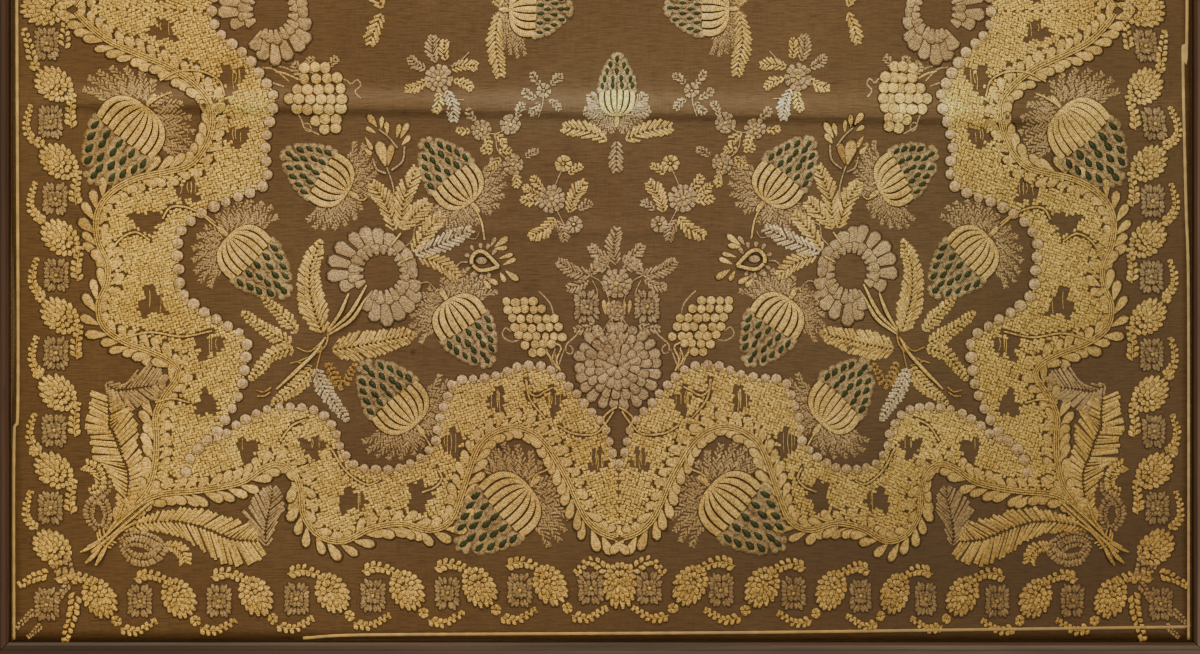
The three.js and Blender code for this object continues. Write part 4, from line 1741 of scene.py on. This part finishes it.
def sew_large_flower(centre, petals):
    """Broad flat petals round a bare middle, and a shorter one over each."""
    tan = dye("tan")
    for k, petal in enumerate(LARGE_PETALS):
        way = -np.exp(-1j * math.radians(petal.turn))
        foot = centre + BARE_MIDDLE * way
        height = 0.8 * TURN_ABOUT[k % 2]
        petals.stitch(PETAL, foot, centre + petal.reach * way, LARGE_WIDTH, tan, height)
        reach = BARE_MIDDLE + INNER_REACH * (petal.reach - BARE_MIDDLE)
        aside = way * np.exp(1j * INNER_TURN)
        foot = centre + (BARE_MIDDLE - 2) * aside
        petals.stitch(PETAL, foot, centre + reach * aside, INNER_WIDTH, tan, 1.5 * height)


def sew_blossom(blossom, petals):
    centre, colour = spot(blossom.x, blossom.y), dye(blossom.colour)
    turn = 0.05 * blossom.x
    reach = blossom.reach
    rosette(petals, centre, 0.25 * reach, reach, blossom.petals, colour, turn, 1.0)
    if reach > 10:
        count = blossom.petals * 2 // 3
        rosette(petals, centre, 0.1 * reach, 0.62 * reach, count, colour, turn + 0.3, 1.6)
    petals.stitch(DISC, centre - 0.2 * reach, centre + 0.2 * reach, 0.4 * reach, dye("gold"), 2.4)


# The border: one unit repeats along each side of the panel

# Middles of its leaves on the drawing sheet
FOOT_LEAVES = ((549, 586), (478, 588), (406, 591), (332, 594), (256, 597), (179, 599), (100, 599))
SIDE_LEAVES = ((53, 85), (58, 162), (60, 238), (60, 316), (58, 393), (54, 470), (52, 547))
LEAF_LENGTH, LEAF_BREADTH = 23, 17.5
# Parts of a unit by their offsets right and down from its leaf's middle: the leaf's tip, its
# sprays from foot to tip with the reach of their lobes, its bead and its grey flower
Unit = namedtuple("Unit", "tip sprays bead flower")
FOOT_UNIT = Unit(
    (0.5, 0.86),
    (
        (((-45, -20), (-30, -24), (-9, -17)), 8.6),
        (((21, 29), (36, 32), (54, 23)), 7.6),
    ),
    (16.5, 22), (40, 2),
)
SIDE_UNIT = Unit(
    (-0.78, -0.62),
    (
        (((18, 44), (17, 30), (20, 13)), 8.6),
        (((-16, 60), (-25, 50), (-27, 38), (-23, 24)), 6.8),
    ),
    (-19, -18), (-3, 38),
)
# Corner pieces: sprays from foot to tip, with the reach of their lobes
CORNER_SPRAYS = (
    (line((76, 592), (73, 612), (66, 637)), 9.5, "gold"),
    (line((50, 573), (36, 577), (22, 584)), 8.5, "gold"),
    (line((71, 580), (69, 569), (68, 556)), 8, "grey"),
    (line((72, 580), (60, 572), (54, 566)), 6, "grey"),
    (line((70, 582), (64, 590), (58, 600)), 6.5, "grey"),
    (line((70, 580), (80, 577), (93, 580)), 7.5, "gold"),
    (line((35, 610), (27, 617), (18, 626)), 5.5, "tan"),
    (line((42, 624), (36, 630), (29, 636)), 5, "tan"),
)
# Where each side's middle falls: a leaf drawn whole on it
FOOT_MIDDLE, SIDE_MIDDLE = spot(618, 586), spot(42, 10)
CORNER_FLOWER = spot(47, 604)


def spray(leaves, path, reach, colour):
    frond(leaves, path, colour, 1.12 * reach, 0.9 * reach, 0.74 * reach, 0.74, LOBE, tapering)


# Rings of lobes in a border leaf: how many, where they start and end, how wide and how high
LEAF_RINGS = ((18, 0.4, 1.0, 8.2, 1.1), (12, 0.16, 0.7, 7.4, 1.6), (6, 0.0, 0.38, 6.4, 2.1))


def sew_border_leaf(centre, way, length, breadth, leaves, colour):
    """An egg-shaped leaf: rings of lobes that lean to its tip, laid close."""
    for count, inner, outer, width, height in LEAF_RINGS:
        for k in range(count):
            angle = 2 * math.pi * (k + 0.5) / count
            out = (length * math.cos(angle) + breadth * math.sin(angle) * 1j) * way
            root = centre + inner * out - 0.3 * outer * length * way
            tip = centre + outer * out
            leaves.stitch(LOBE, root, tip, width, colour, height * TURN_ABOUT[k % 2])


def sew_border_unit(x, y, unit, leaves, flowers, stems):
    """A leaf, a bead, two sprays and a grey flower between them."""
    def place(a, b):
        return spot(x + a, y + b)

    gold = dye("gold")
    centre = place(0, 0)
    way = place(*unit.tip) - centre
    sew_border_leaf(centre, way / abs(way), LEAF_LENGTH, LEAF_BREADTH, leaves, gold)
    rosette(leaves, place(*unit.bead), 0.6, 5.6, 6, gold, 0.4)
    for offsets, reach in unit.sprays:
        path = np.array([place(*offset) for offset in offsets])
        spray(leaves, path, reach, gold)
        stems.cord(flowing(path, 5), 0.8, gold)
    sew_grey_flower(place(*unit.flower), flowers)


# Lobes of a grey flower: where each ends, right and down from its middle, and where it starts
# as a share of that way, for one quarter of it
GREY_SHARE = 0.76
GREY_WIDTH = 6.4
GREY_LOBES = (
    (3.5, 17, 0.4), (8.5, 17.5, 0.42), (12.5, 13.5, 0.42), (13.5, 8, 0.4), (13, 2.8, 0.4),
    (3, 9, 0.1), (7, 7, 0.15), (7.5, 2.5, 0.15),
)


def sew_grey_flower(centre, flowers):
    """An upright faded flower, close-set and nearly square."""
    grey = tuple(GREY_SHARE * c for c in dye("grey"))
    for right in (-1, 1):
        for down in (-1, 1):
            for k, (x, y, start) in enumerate(GREY_LOBES):
                out = complex(right * x, down * y)
                height = (1.1 if start > 0.3 else 1.7) * TURN_ABOUT[k % 2]
                flowers.stitch(LOBE, centre + start * out, centre + out, GREY_WIDTH, grey, height)
    flowers.stitch(DISC, centre - 2.5j, centre + 2.5j, 5.0, dye("gold"), 2.4)


def sew_border(leaves, flowers, stems):
    for x, y in FOOT_LEAVES:
        sew_border_unit(x, y, FOOT_UNIT, leaves, flowers, stems)
    for x, y in SIDE_LEAVES[:-1]:
        sew_border_unit(x, y, SIDE_UNIT, leaves, flowers, stems)
    x, y = SIDE_LEAVES[-1]
    way = complex(*SIDE_UNIT.tip)
    way = complex(-way.real, way.imag) / abs(way)
    sew_border_leaf(spot(x, y), way, LEAF_LENGTH, LEAF_BREADTH, leaves, dye("gold"))
    x, y = SIDE_LEAVES[0]
    sew_grey_flower(spot(x - 7, y - 40), flowers)
    for foot, tip in (((64, 50), (65, 18)), ((33, 64), (24, 33))):
        spray(leaves, np.array([spot(*foot), spot(*tip)]), 8.0, dye("gold"))
    spray(leaves, line((608, 572), (590, 561), (576, 571)), 8.6, dye("gold"))
    for path, reach, name in CORNER_SPRAYS:
        spray(leaves, path, reach, dye(name))
    sew_grey_flower(CORNER_FLOWER, flowers)
    for middle, way, copies in ((FOOT_MIDDLE, 1j, ON_UPRIGHT), (SIDE_MIDDLE, 1, ON_LEVEL)):
        leaves.copies = copies
        sew_border_leaf(middle, way, 25, 18, leaves, dye("gold"))
        for side in (-1, 1):
            eye = middle - 5 * way + 7j * side * way
            rosette(leaves, eye, 0.5, 5.5, 6, dye("gold"), 0.3, 2.4)


# Cloth and frame

# Lines of the silk's grid, and how much denser they lie on a fold of 2 mm
SILK_COLUMNS, SILK_ROWS = 126, 152
DENSER = 2.4


def grid_lines(half, count, folds):
    """Places of the grid's lines from edge to edge, closer together over each fold."""
    fine = np.linspace(-half, half, 4000)
    density = np.ones_like(fine)
    for fold in folds:
        middle = (fold.at + fold.slope * (fold.start + fold.end) / 2) * MM
        reach = (max(fold.up, fold.down) + 4) * MM
        density += DENSER * fold.rise / 2 * np.exp(-(((fine - middle) / reach) ** 2))
    grown = np.cumsum(density)
    return np.interp(np.linspace(grown[0], grown[-1], count), grown, fine)


def dip(side, along):
    depth = sum(d.depth * swell((along / MM - d.at) / d.half) for d in EDGE_DIPS[side])
    return depth * MM


def make_silk():
    """The brown silk, a closed sheet on its folds, its edges drawn in here and there."""
    half_width = SIGHT_HALF_WIDTH - SILK_TRIM * MM
    half_height = SIGHT_HALF_HEIGHT - SILK_TRIM * MM
    across = grid_lines(half_width, SILK_COLUMNS, LONG_FOLDS)
    up = grid_lines(half_height, SILK_ROWS, CROSS_FOLDS)
    x, y = np.meshgrid(across, up)
    x[:, 0] += dip("left", up)
    x[:, -1] -= dip("right", up)
    y[0] += dip("bottom", across)
    y[-1] -= dip("top", across)
    x, y = x.ravel(), y.ravel()
    top = silk_top(x, y)
    count = len(x)
    places = np.r_[np.c_[x, y, top], np.c_[x, y, top - settings().silk_thickness]]
    face = grid_faces(SILK_COLUMNS, SILK_ROWS)
    last_row = count - SILK_COLUMNS
    i, j = np.arange(SILK_COLUMNS - 1), np.arange(SILK_ROWS - 1) * SILK_COLUMNS
    end = SILK_COLUMNS - 1
    edges = (
        (i + 1, i), (last_row + i, last_row + i + 1),
        (j, j + SILK_COLUMNS), (j + end + SILK_COLUMNS, j + end),
    )
    walls = [np.stack([a, b, b + count, a + count], 1) for a, b in edges]
    faces = np.concatenate([face, face[:, ::-1] + count] + walls)
    obj = new_object("silk_ground", places.tolist(), faces.tolist(), silk_material())
    obj.data.shade_smooth()
    # Tones of age across the silk, with the painted highlights along the top fold and the painted
    # shade along the lower soft fold
    tone = np.c_[np.tile(tone_and_painted_light(x, y), (2, 1)), np.ones(2 * count)]
    add_attribute(obj.data, "tone", "FLOAT_COLOR", tone)
    ride(obj, "silk", "silk_panel")


BRAID_WIDTH, BRAID_HEIGHT = 1.8 * MM, 0.8 * MM
BRAID_LIFT = 0.1 * MM
BRAID_STEP = 2.5 * MM
# Paths of the braids: place along the edge and distance in from the opening's edge, in mm
BRAID_PATHS = {
    "left": ((-384, 2.1), (-262, 2.2), (-235, 4.6), (-30, 4.0), (170, 3.3), (384, 3.2)),
    "right": ((-384, 2.3), (-177, 2.4), (-116, 4.0), (-24, 5.8), (-1, 3.3), (384, 3.6)),
    "bottom": ((-182, 2.0), (-150, 3.9), (-60, 4.6), (90, 5.5), (240, 7.4), (356.5, 8.9)),
    "top": ((-355.6, 6.0), (-80, 4.9), (150, 5.4), (355.2, 6.2)),
}
# Section of a braid in shares of its width and height
BRAID_SECTION = (
    (-0.5, 0.0), (-0.5, 0.5), (-0.28, 0.85), (0.0, 1.0), (0.28, 0.85), (0.5, 0.5), (0.5, 0.0)
)


def make_braid(side, material):
    """A narrow plaited ribbon sewn down along one edge."""
    upright = side in ("left", "right")
    outward = -1 if side in ("left", "bottom") else 1
    edge = SIGHT_HALF_WIDTH if upright else SIGHT_HALF_HEIGHT
    along, inset = np.array(BRAID_PATHS[side]).T * MM
    off = outward * (edge - inset)
    path = flowing(off + 1j * along if upright else along + 1j * off, BRAID_STEP)
    ways = headings(path)
    ripple = 1 + 0.06 * np.sin(np.arange(len(path)) * 1.9)
    places, spots = [], []
    lengths = np.concatenate([[0], np.cumsum(np.abs(np.diff(path)))])
    for k, (here, way) in enumerate(zip(path, ways)):
        base = float(silk_top(here.real, here.imag)) + BRAID_LIFT
        for across, up in BRAID_SECTION:
            point = here + 1j * way * across * BRAID_WIDTH * ripple[k]
            places.append((point.real, point.imag, base + up * BRAID_HEIGHT))
            spots.append((lengths[k], across * BRAID_WIDTH))
    n = len(BRAID_SECTION)
    faces = []
    for k in range(len(path) - 1):
        for m in range(n):
            a, b = k * n + m, k * n + (m + 1) % n
            faces.append((a, b, b + n, a + n))
    faces.append(tuple(range(n))[::-1])
    faces.append(tuple(range((len(path) - 1) * n, len(path) * n)))
    obj = new_object("braid_ribbon_" + side, places, faces, material)
    mesh = obj.data
    mesh.shade_smooth()
    layer = mesh.uv_layers.new(name="UVMap")
    layer.uv.foreach_set("vector", [c for loop in mesh.loops for c in spots[loop.vertex_index]])
    where = vertex_places(mesh)
    # Tones of age along the braid, with the painted light and shade of the folds
    tone = np.c_[tone_and_painted_light(where[:, 0], where[:, 1]), np.ones(len(where))]
    add_attribute(mesh, "tone", "FLOAT_COLOR", tone)
    return obj


# Operators


# Kinds of thread: how rough, how pitted, and how dark the painted shade line round each piece is
Thread = namedtuple("Thread", "name rough pitted outlined")
THREADS = {
    "bold": Thread("silk_floss", 0.38, 0.3, 0.95),
    "fine": Thread("fine_floss", 0.4, 0.3, 0.92),
    "faded": Thread("faded_floss", 0.45, 0.6, 0.95),
    "couched": Thread("couched_thread", 0.42, 0.0, 0.3),
    "soft": Thread("soft_floss", 0.55, 0.5, 0.4),
}


def floss(kind="bold"):
    thread = THREADS[kind]
    return bpy.data.materials.get(thread.name) or floss_material(*thread)


class EMBROIDERY_OT_finish_frame(bpy.types.Operator):
    """Give the rails their wood and the mount its linen"""

    bl_idname = "embroidery.finish_frame"
    bl_label = "Frame and mount"

    def execute(self, context):
        linen = linen_material()
        for name, upright in (("left", True), ("right", True), ("top", False), ("bottom", False)):
            wood = bpy.data.materials.get("wood_upright" if upright else "wood_level")
            wood = wood or wood_material("wood_upright" if upright else "wood_level", upright)
            frame["nodes"]["frame_rail_" + name].data.materials[0] = wood
        frame["nodes"]["linen_mount"].data.materials[0] = linen
        return {"FINISHED"}


class EMBROIDERY_OT_lay_silk(bpy.types.Operator):
    """Lay the silk on its mount with its folds and creases"""

    bl_idname = "embroidery.lay_silk"
    bl_label = "Silk"

    def execute(self, context):
        make_silk()
        return {"FINISHED"}


class EMBROIDERY_OT_sew_braids(bpy.types.Operator):
    """Sew a narrow braid along each edge"""

    bl_idname = "embroidery.sew_braids"
    bl_label = "Braids"

    def execute(self, context):
        material = braid_material()
        for side in BRAID_PATHS:
            braid = make_braid(side, material)
            ride(braid, "braid", "braid_" + side)
        return {"FINISHED"}


class EMBROIDERY_OT_sew_band(bpy.types.Operator):
    """Sew the scalloped band: lace, lobed ribs and a chain of discs"""

    bl_idname = "embroidery.sew_band"
    bl_label = "Scalloped band"

    def execute(self, context):
        lobes, discs, ribs, veins = Work(21), Work(22), Work(23), Work(24)
        sew_ribs(lobes, ribs)
        for name, side in (("left", LEFT), ("right", RIGHT)):
            lace = Work(11)
            lace.copies = ((side, LOWER), (side, UPPER))
            basket_filling(lace, lace_fields(), lobes.stitches, np.random.default_rng(3))
            ride(sewn(lace, "band_lace_" + name, floss("couched")), "lacework")
        sew_chain(discs)
        for path in VEINS:
            veins.cord(flowing(path, 5), VEIN_RADIUS, dye("gold"), (1, 1, 0.8))
        torn_threads(veins, np.random.default_rng(5))
        ride(sewn(lobes, "band_lobes", floss()), "gold_silk")
        ride(sewn(discs, "band_discs", floss("faded")), "grey_silk")
        ride(couched(ribs, "band_ribs", floss()), "gold_silk")
        ride(couched(veins, "band_veins", floss()), "gold_silk")
        return {"FINISHED"}


class EMBROIDERY_OT_sew_fruit(bpy.types.Operator):
    """Sew the padded fruit and the bunches of grapes"""

    bl_idname = "embroidery.sew_fruit"
    bl_label = "Fruit"

    def execute(self, context):
        bodies, net, seeds, calyxes = Work(31), Work(32), Work(33), Work(34)
        for group, copies in (
            (QUARTER_FRUIT, QUARTERS), (LEVEL_FRUIT, ON_LEVEL), (UPRIGHT_FRUIT, ON_UPRIGHT)
        ):
            for work in (bodies, net, seeds, calyxes):
                work.copies = copies
            for fruit in group:
                sew_fruit(fruit, bodies, net, seeds, calyxes)
        grapes = Work(35)
        bodies.copies = QUARTERS
        for bunch in BUNCHES:
            sew_grapes(bunch, grapes, bodies)
        ride(couched(bodies, "fruit_ribs", floss(), 8, 0.27), "gold_silk")
        ride(sewn(net, "fruit_nets", floss("soft")), "gold_silk")
        ride(sewn(seeds, "fruit_seeds", floss()), "green_silk")
        ride(sewn(calyxes, "fruit_calyxes", floss("fine")), "grey_silk")
        ride(sewn(grapes, "grapes", floss()), "gold_silk")
        return {"FINISHED"}


class EMBROIDERY_OT_sew_flowers(bpy.types.Operator):
    """Sew the large flowers, the blossoms and their stems"""

    bl_idname = "embroidery.sew_flowers"
    bl_label = "Flowers"

    def execute(self, context):
        petals, blossoms, stems = Work(41), Work(42), Work(43)
        for centres, copies in ((LARGE_SPOTS, QUARTERS), (LEVEL_LARGE, ON_LEVEL)):
            petals.copies = copies
            for centre in centres:
                sew_large_flower(centre, petals)
        petals.copies = ON_UPRIGHT
        for inner, outer, count, height in CENTRE_RINGS:
            turn = 0.05 * inner
            rosette(petals, CENTRE_FLOWER, inner, outer, count, dye("tan"), turn, height)
        for row, reach in enumerate(CROWN_ROWS):
            for k in range(-CROWN_HALF_COUNT, CROWN_HALF_COUNT + 1):
                way = -1j * np.exp(1j * CROWN_STEP * (k + 0.5 * (row % 2)))
                foot = CENTRE_FLOWER + (reach - CROWN_BACK) * way
                tip = foot + CROWN_LENGTH * way
                petals.stitch(LOBE, foot, tip, CROWN_WIDTH, dye("grey"), 2.2 - 0.4 * row)
        for group, copies in ((QUARTER_BLOSSOMS, QUARTERS), (UPRIGHT_BLOSSOMS, ON_UPRIGHT)):
            blossoms.copies = copies
            for blossom in group:
                sew_blossom(blossom, blossoms)
        blossoms.copies = QUARTERS
        for k, blade in enumerate(BLADES):
            foot, tip = spot(blade.x, blade.y), spot(blade.tip_x, blade.tip_y)
            height = 1.0 * TURN_ABOUT[k % 2]
            blossoms.stitch(CLUB, foot, tip, blade.width, dye(blade.colour), height)
        middle, half, breadth = HEART_MIDDLE
        blossoms.stitch(DISC, middle - half, middle + half, breadth, dye("tan"), 1.2)
        for path, thickness in STEMS:
            stems.cord(flowing(path, 4), thickness, dye("gold"))
        for path, thickness, name in BLOOM_CORDS:
            stems.cord(flowing(path, 3), thickness, dye(name))
        for path in SPRIG_STEMS:
            stems.cord(flowing(path, 4), 0.9, dye("grey"))
        sew_grey_flower(BOUQUET_FLOWER, blossoms)
        ride(sewn(petals, "large_petals", floss("faded")), "grey_silk")
        ride(sewn(blossoms, "blossoms", floss("fine")), "gold_silk")
        ride(couched(stems, "flower_stems", floss()), "gold_silk")
        return {"FINISHED"}


class EMBROIDERY_OT_sew_leaves(bpy.types.Operator):
    """Sew the leaves, the ferny star and the corner plumes"""

    bl_idname = "embroidery.sew_leaves"
    bl_label = "Leaves and plumes"

    def execute(self, context):
        leaves, small, plumes, stems = Work(51), Work(52), Work(53), Work(54)
        for group, copies in ((QUARTER_LEAVES, QUARTERS), (UPRIGHT_LEAVES, ON_UPRIGHT)):
            leaves.copies = copies
            for leaf in group:
                rib_leaf(leaves, leaf.path, leaf.breadth, dye(leaf.colour))
        for group, copies in (
            (QUARTER_SMALL_LEAVES, QUARTERS), (UPRIGHT_SMALL_LEAVES, ON_UPRIGHT)
        ):
            small.copies = copies
            for leaf in group:
                foot, tip = spot(leaf.x, leaf.y), spot(leaf.tip_x, leaf.tip_y)
                bent = (foot + tip) / 2 + 0.08j * (tip - foot)
                rib_leaf(small, (foot, bent, tip), leaf.breadth, dye(leaf.colour), 3.6, 0.7)
        leaves.copies = QUARTERS
        sew_star(leaves, stems)
        sew_plumes(plumes, stems)
        ride(sewn(leaves, "leaves", floss("fine")), "gold_silk")
        ride(sewn(small, "small_leaves", floss("fine")), "gold_silk")
        ride(sewn(plumes, "plumes", floss()), "gold_silk")
        ride(couched(stems, "leaf_stems", floss()), "gold_silk")
        return {"FINISHED"}


class EMBROIDERY_OT_sew_border(bpy.types.Operator):
    """Sew the repeating border"""

    bl_idname = "embroidery.sew_border"
    bl_label = "Border"

    def execute(self, context):
        leaves, flowers, stems = Work(61), Work(62), Work(63)
        sew_border(leaves, flowers, stems)
        ride(sewn(leaves, "border_leaves", floss("fine")), "gold_silk")
        ride(sewn(flowers, "border_flowers", floss("fine")), "grey_silk")
        ride(couched(stems, "border_stems", floss()), "gold_silk")
        return {"FINISHED"}


class EMBROIDERY_OT_set_stage(bpy.types.Operator):
    """Set the floor, the camera straight above the work and the soft lights"""

    bl_idname = "embroidery.set_stage"
    bl_label = "Stage"

    def execute(self, context):
        look = context.scene.embroidery_stage
        make_floor(look)
        aim = np.array((VIEW_CENTRE_X, VIEW_CENTRE_Y, WORK_LEVEL))
        data = bpy.data.cameras.new("view_from_above")
        data.lens = look.lens
        data.sensor_width = SENSOR
        camera = bpy.data.objects.new("view_from_above", data)
        context.collection.objects.link(camera)
        camera.location = aim + np.array((0, 0, look.view_width * look.lens / SENSOR))
        context.scene.camera = camera
        add_light("window", WINDOW_PLACE, WINDOW_SIZE, look.window, WINDOW_TINT)
        add_light("ceiling", CEILING_PLACE, CEILING_SIZE, look.ceiling, CEILING_TINT)
        set_sky()
        return {"FINISHED"}


SENSOR = 36.0
FLOOR_LEVEL = -0.2 * MM
VIEW_CENTRE_X, VIEW_CENTRE_Y = MIDDLE_LINE - 18 * GRID, -317 * GRID
WORK_LEVEL = 9.5 * MM
WINDOW_PLACE, WINDOW_SIZE, WINDOW_TINT = (-0.5, 1.9, 1.25), 1.1, (1.0, 0.97, 0.92)
CEILING_PLACE, CEILING_SIZE, CEILING_TINT = (0.6, -0.6, 2.4), 2.0, (1.0, 0.98, 0.95)
SKY = (1.0, 0.95, 0.88)
SKY_STRENGTH = 0.62


def make_floor(look):
    half = look.floor
    corners = [(-half, -half), (half, -half), (half, half), (-half, half)]
    corners = [(x, y, FLOOR_LEVEL) for x, y in corners]
    material, tree, shader = new_material("pale_floor", 0.8)
    tone = ranged(tree, noise(tree, own_place(tree), 3.0), 0.2, 0.8, 0.0, 0.1)
    shade = mixed(tree, tone, tuple(look.floor_colour), (0.6, 0.58, 0.55))
    show(tree, shader, shade)
    new_object("floor", corners, [(0, 1, 2, 3)], material)


def add_light(name, place, size, power, colour):
    data = bpy.data.lights.new(name, "AREA")
    data.shape = "DISK"
    data.size = size
    data.energy = power
    data.color = colour
    light = bpy.data.objects.new(name, data)
    bpy.context.collection.objects.link(light)
    light.location = place
    aim = light.location.__class__((0, -0.15, 0)) - light.location
    light.rotation_euler = aim.to_track_quat("-Z", "Y").to_euler()


def set_sky():
    world = bpy.data.worlds.new("soft_room")
    world.use_nodes = True
    backdrop = world.node_tree.nodes["Background"]
    backdrop.inputs["Color"].default_value = (*SKY, 1)
    backdrop.inputs["Strength"].default_value = SKY_STRENGTH
    bpy.context.scene.world = world


class EMBROIDERY_PT_panel(bpy.types.Panel):
    """Lists the pieces of the embroidery"""

    bl_idname = "EMBROIDERY_PT_panel"
    bl_label = "Framed silk embroidery"
    bl_space_type = "VIEW_3D"
    bl_region_type = "UI"
    bl_category = "Embroidery"

    def draw(self, context):
        for operator in OPERATORS:
            self.layout.operator(operator.bl_idname)


OPERATORS = (
    EMBROIDERY_OT_set_stage,
    EMBROIDERY_OT_finish_frame,
    EMBROIDERY_OT_lay_silk,
    EMBROIDERY_OT_sew_braids,
    EMBROIDERY_OT_sew_band,
    EMBROIDERY_OT_sew_fruit,
    EMBROIDERY_OT_sew_flowers,
    EMBROIDERY_OT_sew_leaves,
    EMBROIDERY_OT_sew_border,
)
CLASSES = (EmbroiderySettings, StageSettings) + OPERATORS + (EMBROIDERY_PT_panel,)


def register():
    for each in CLASSES:
        bpy.utils.register_class(each)
    bpy.types.Scene.embroidery = bpy.props.PointerProperty(type=EmbroiderySettings)
    bpy.types.Scene.embroidery_stage = bpy.props.PointerProperty(type=StageSettings)


def unregister():
    del bpy.types.Scene.embroidery_stage
    del bpy.types.Scene.embroidery
    for each in reversed(CLASSES):
        bpy.utils.unregister_class(each)


def put_away_patterns():
    """Removes the single stitches that every piece was made from."""
    collection = bpy.data.collections["stitches"]
    for obj in list(collection.objects):
        mesh = obj.data
        bpy.data.objects.remove(obj)
        bpy.data.meshes.remove(mesh)
    bpy.data.collections.remove(collection)


def main():
    register()
    for operator in OPERATORS:
        group, name = operator.bl_idname.split(".")
        getattr(getattr(bpy.ops, group), name)()
    put_away_patterns()


if __name__ == "__main__":
    main()
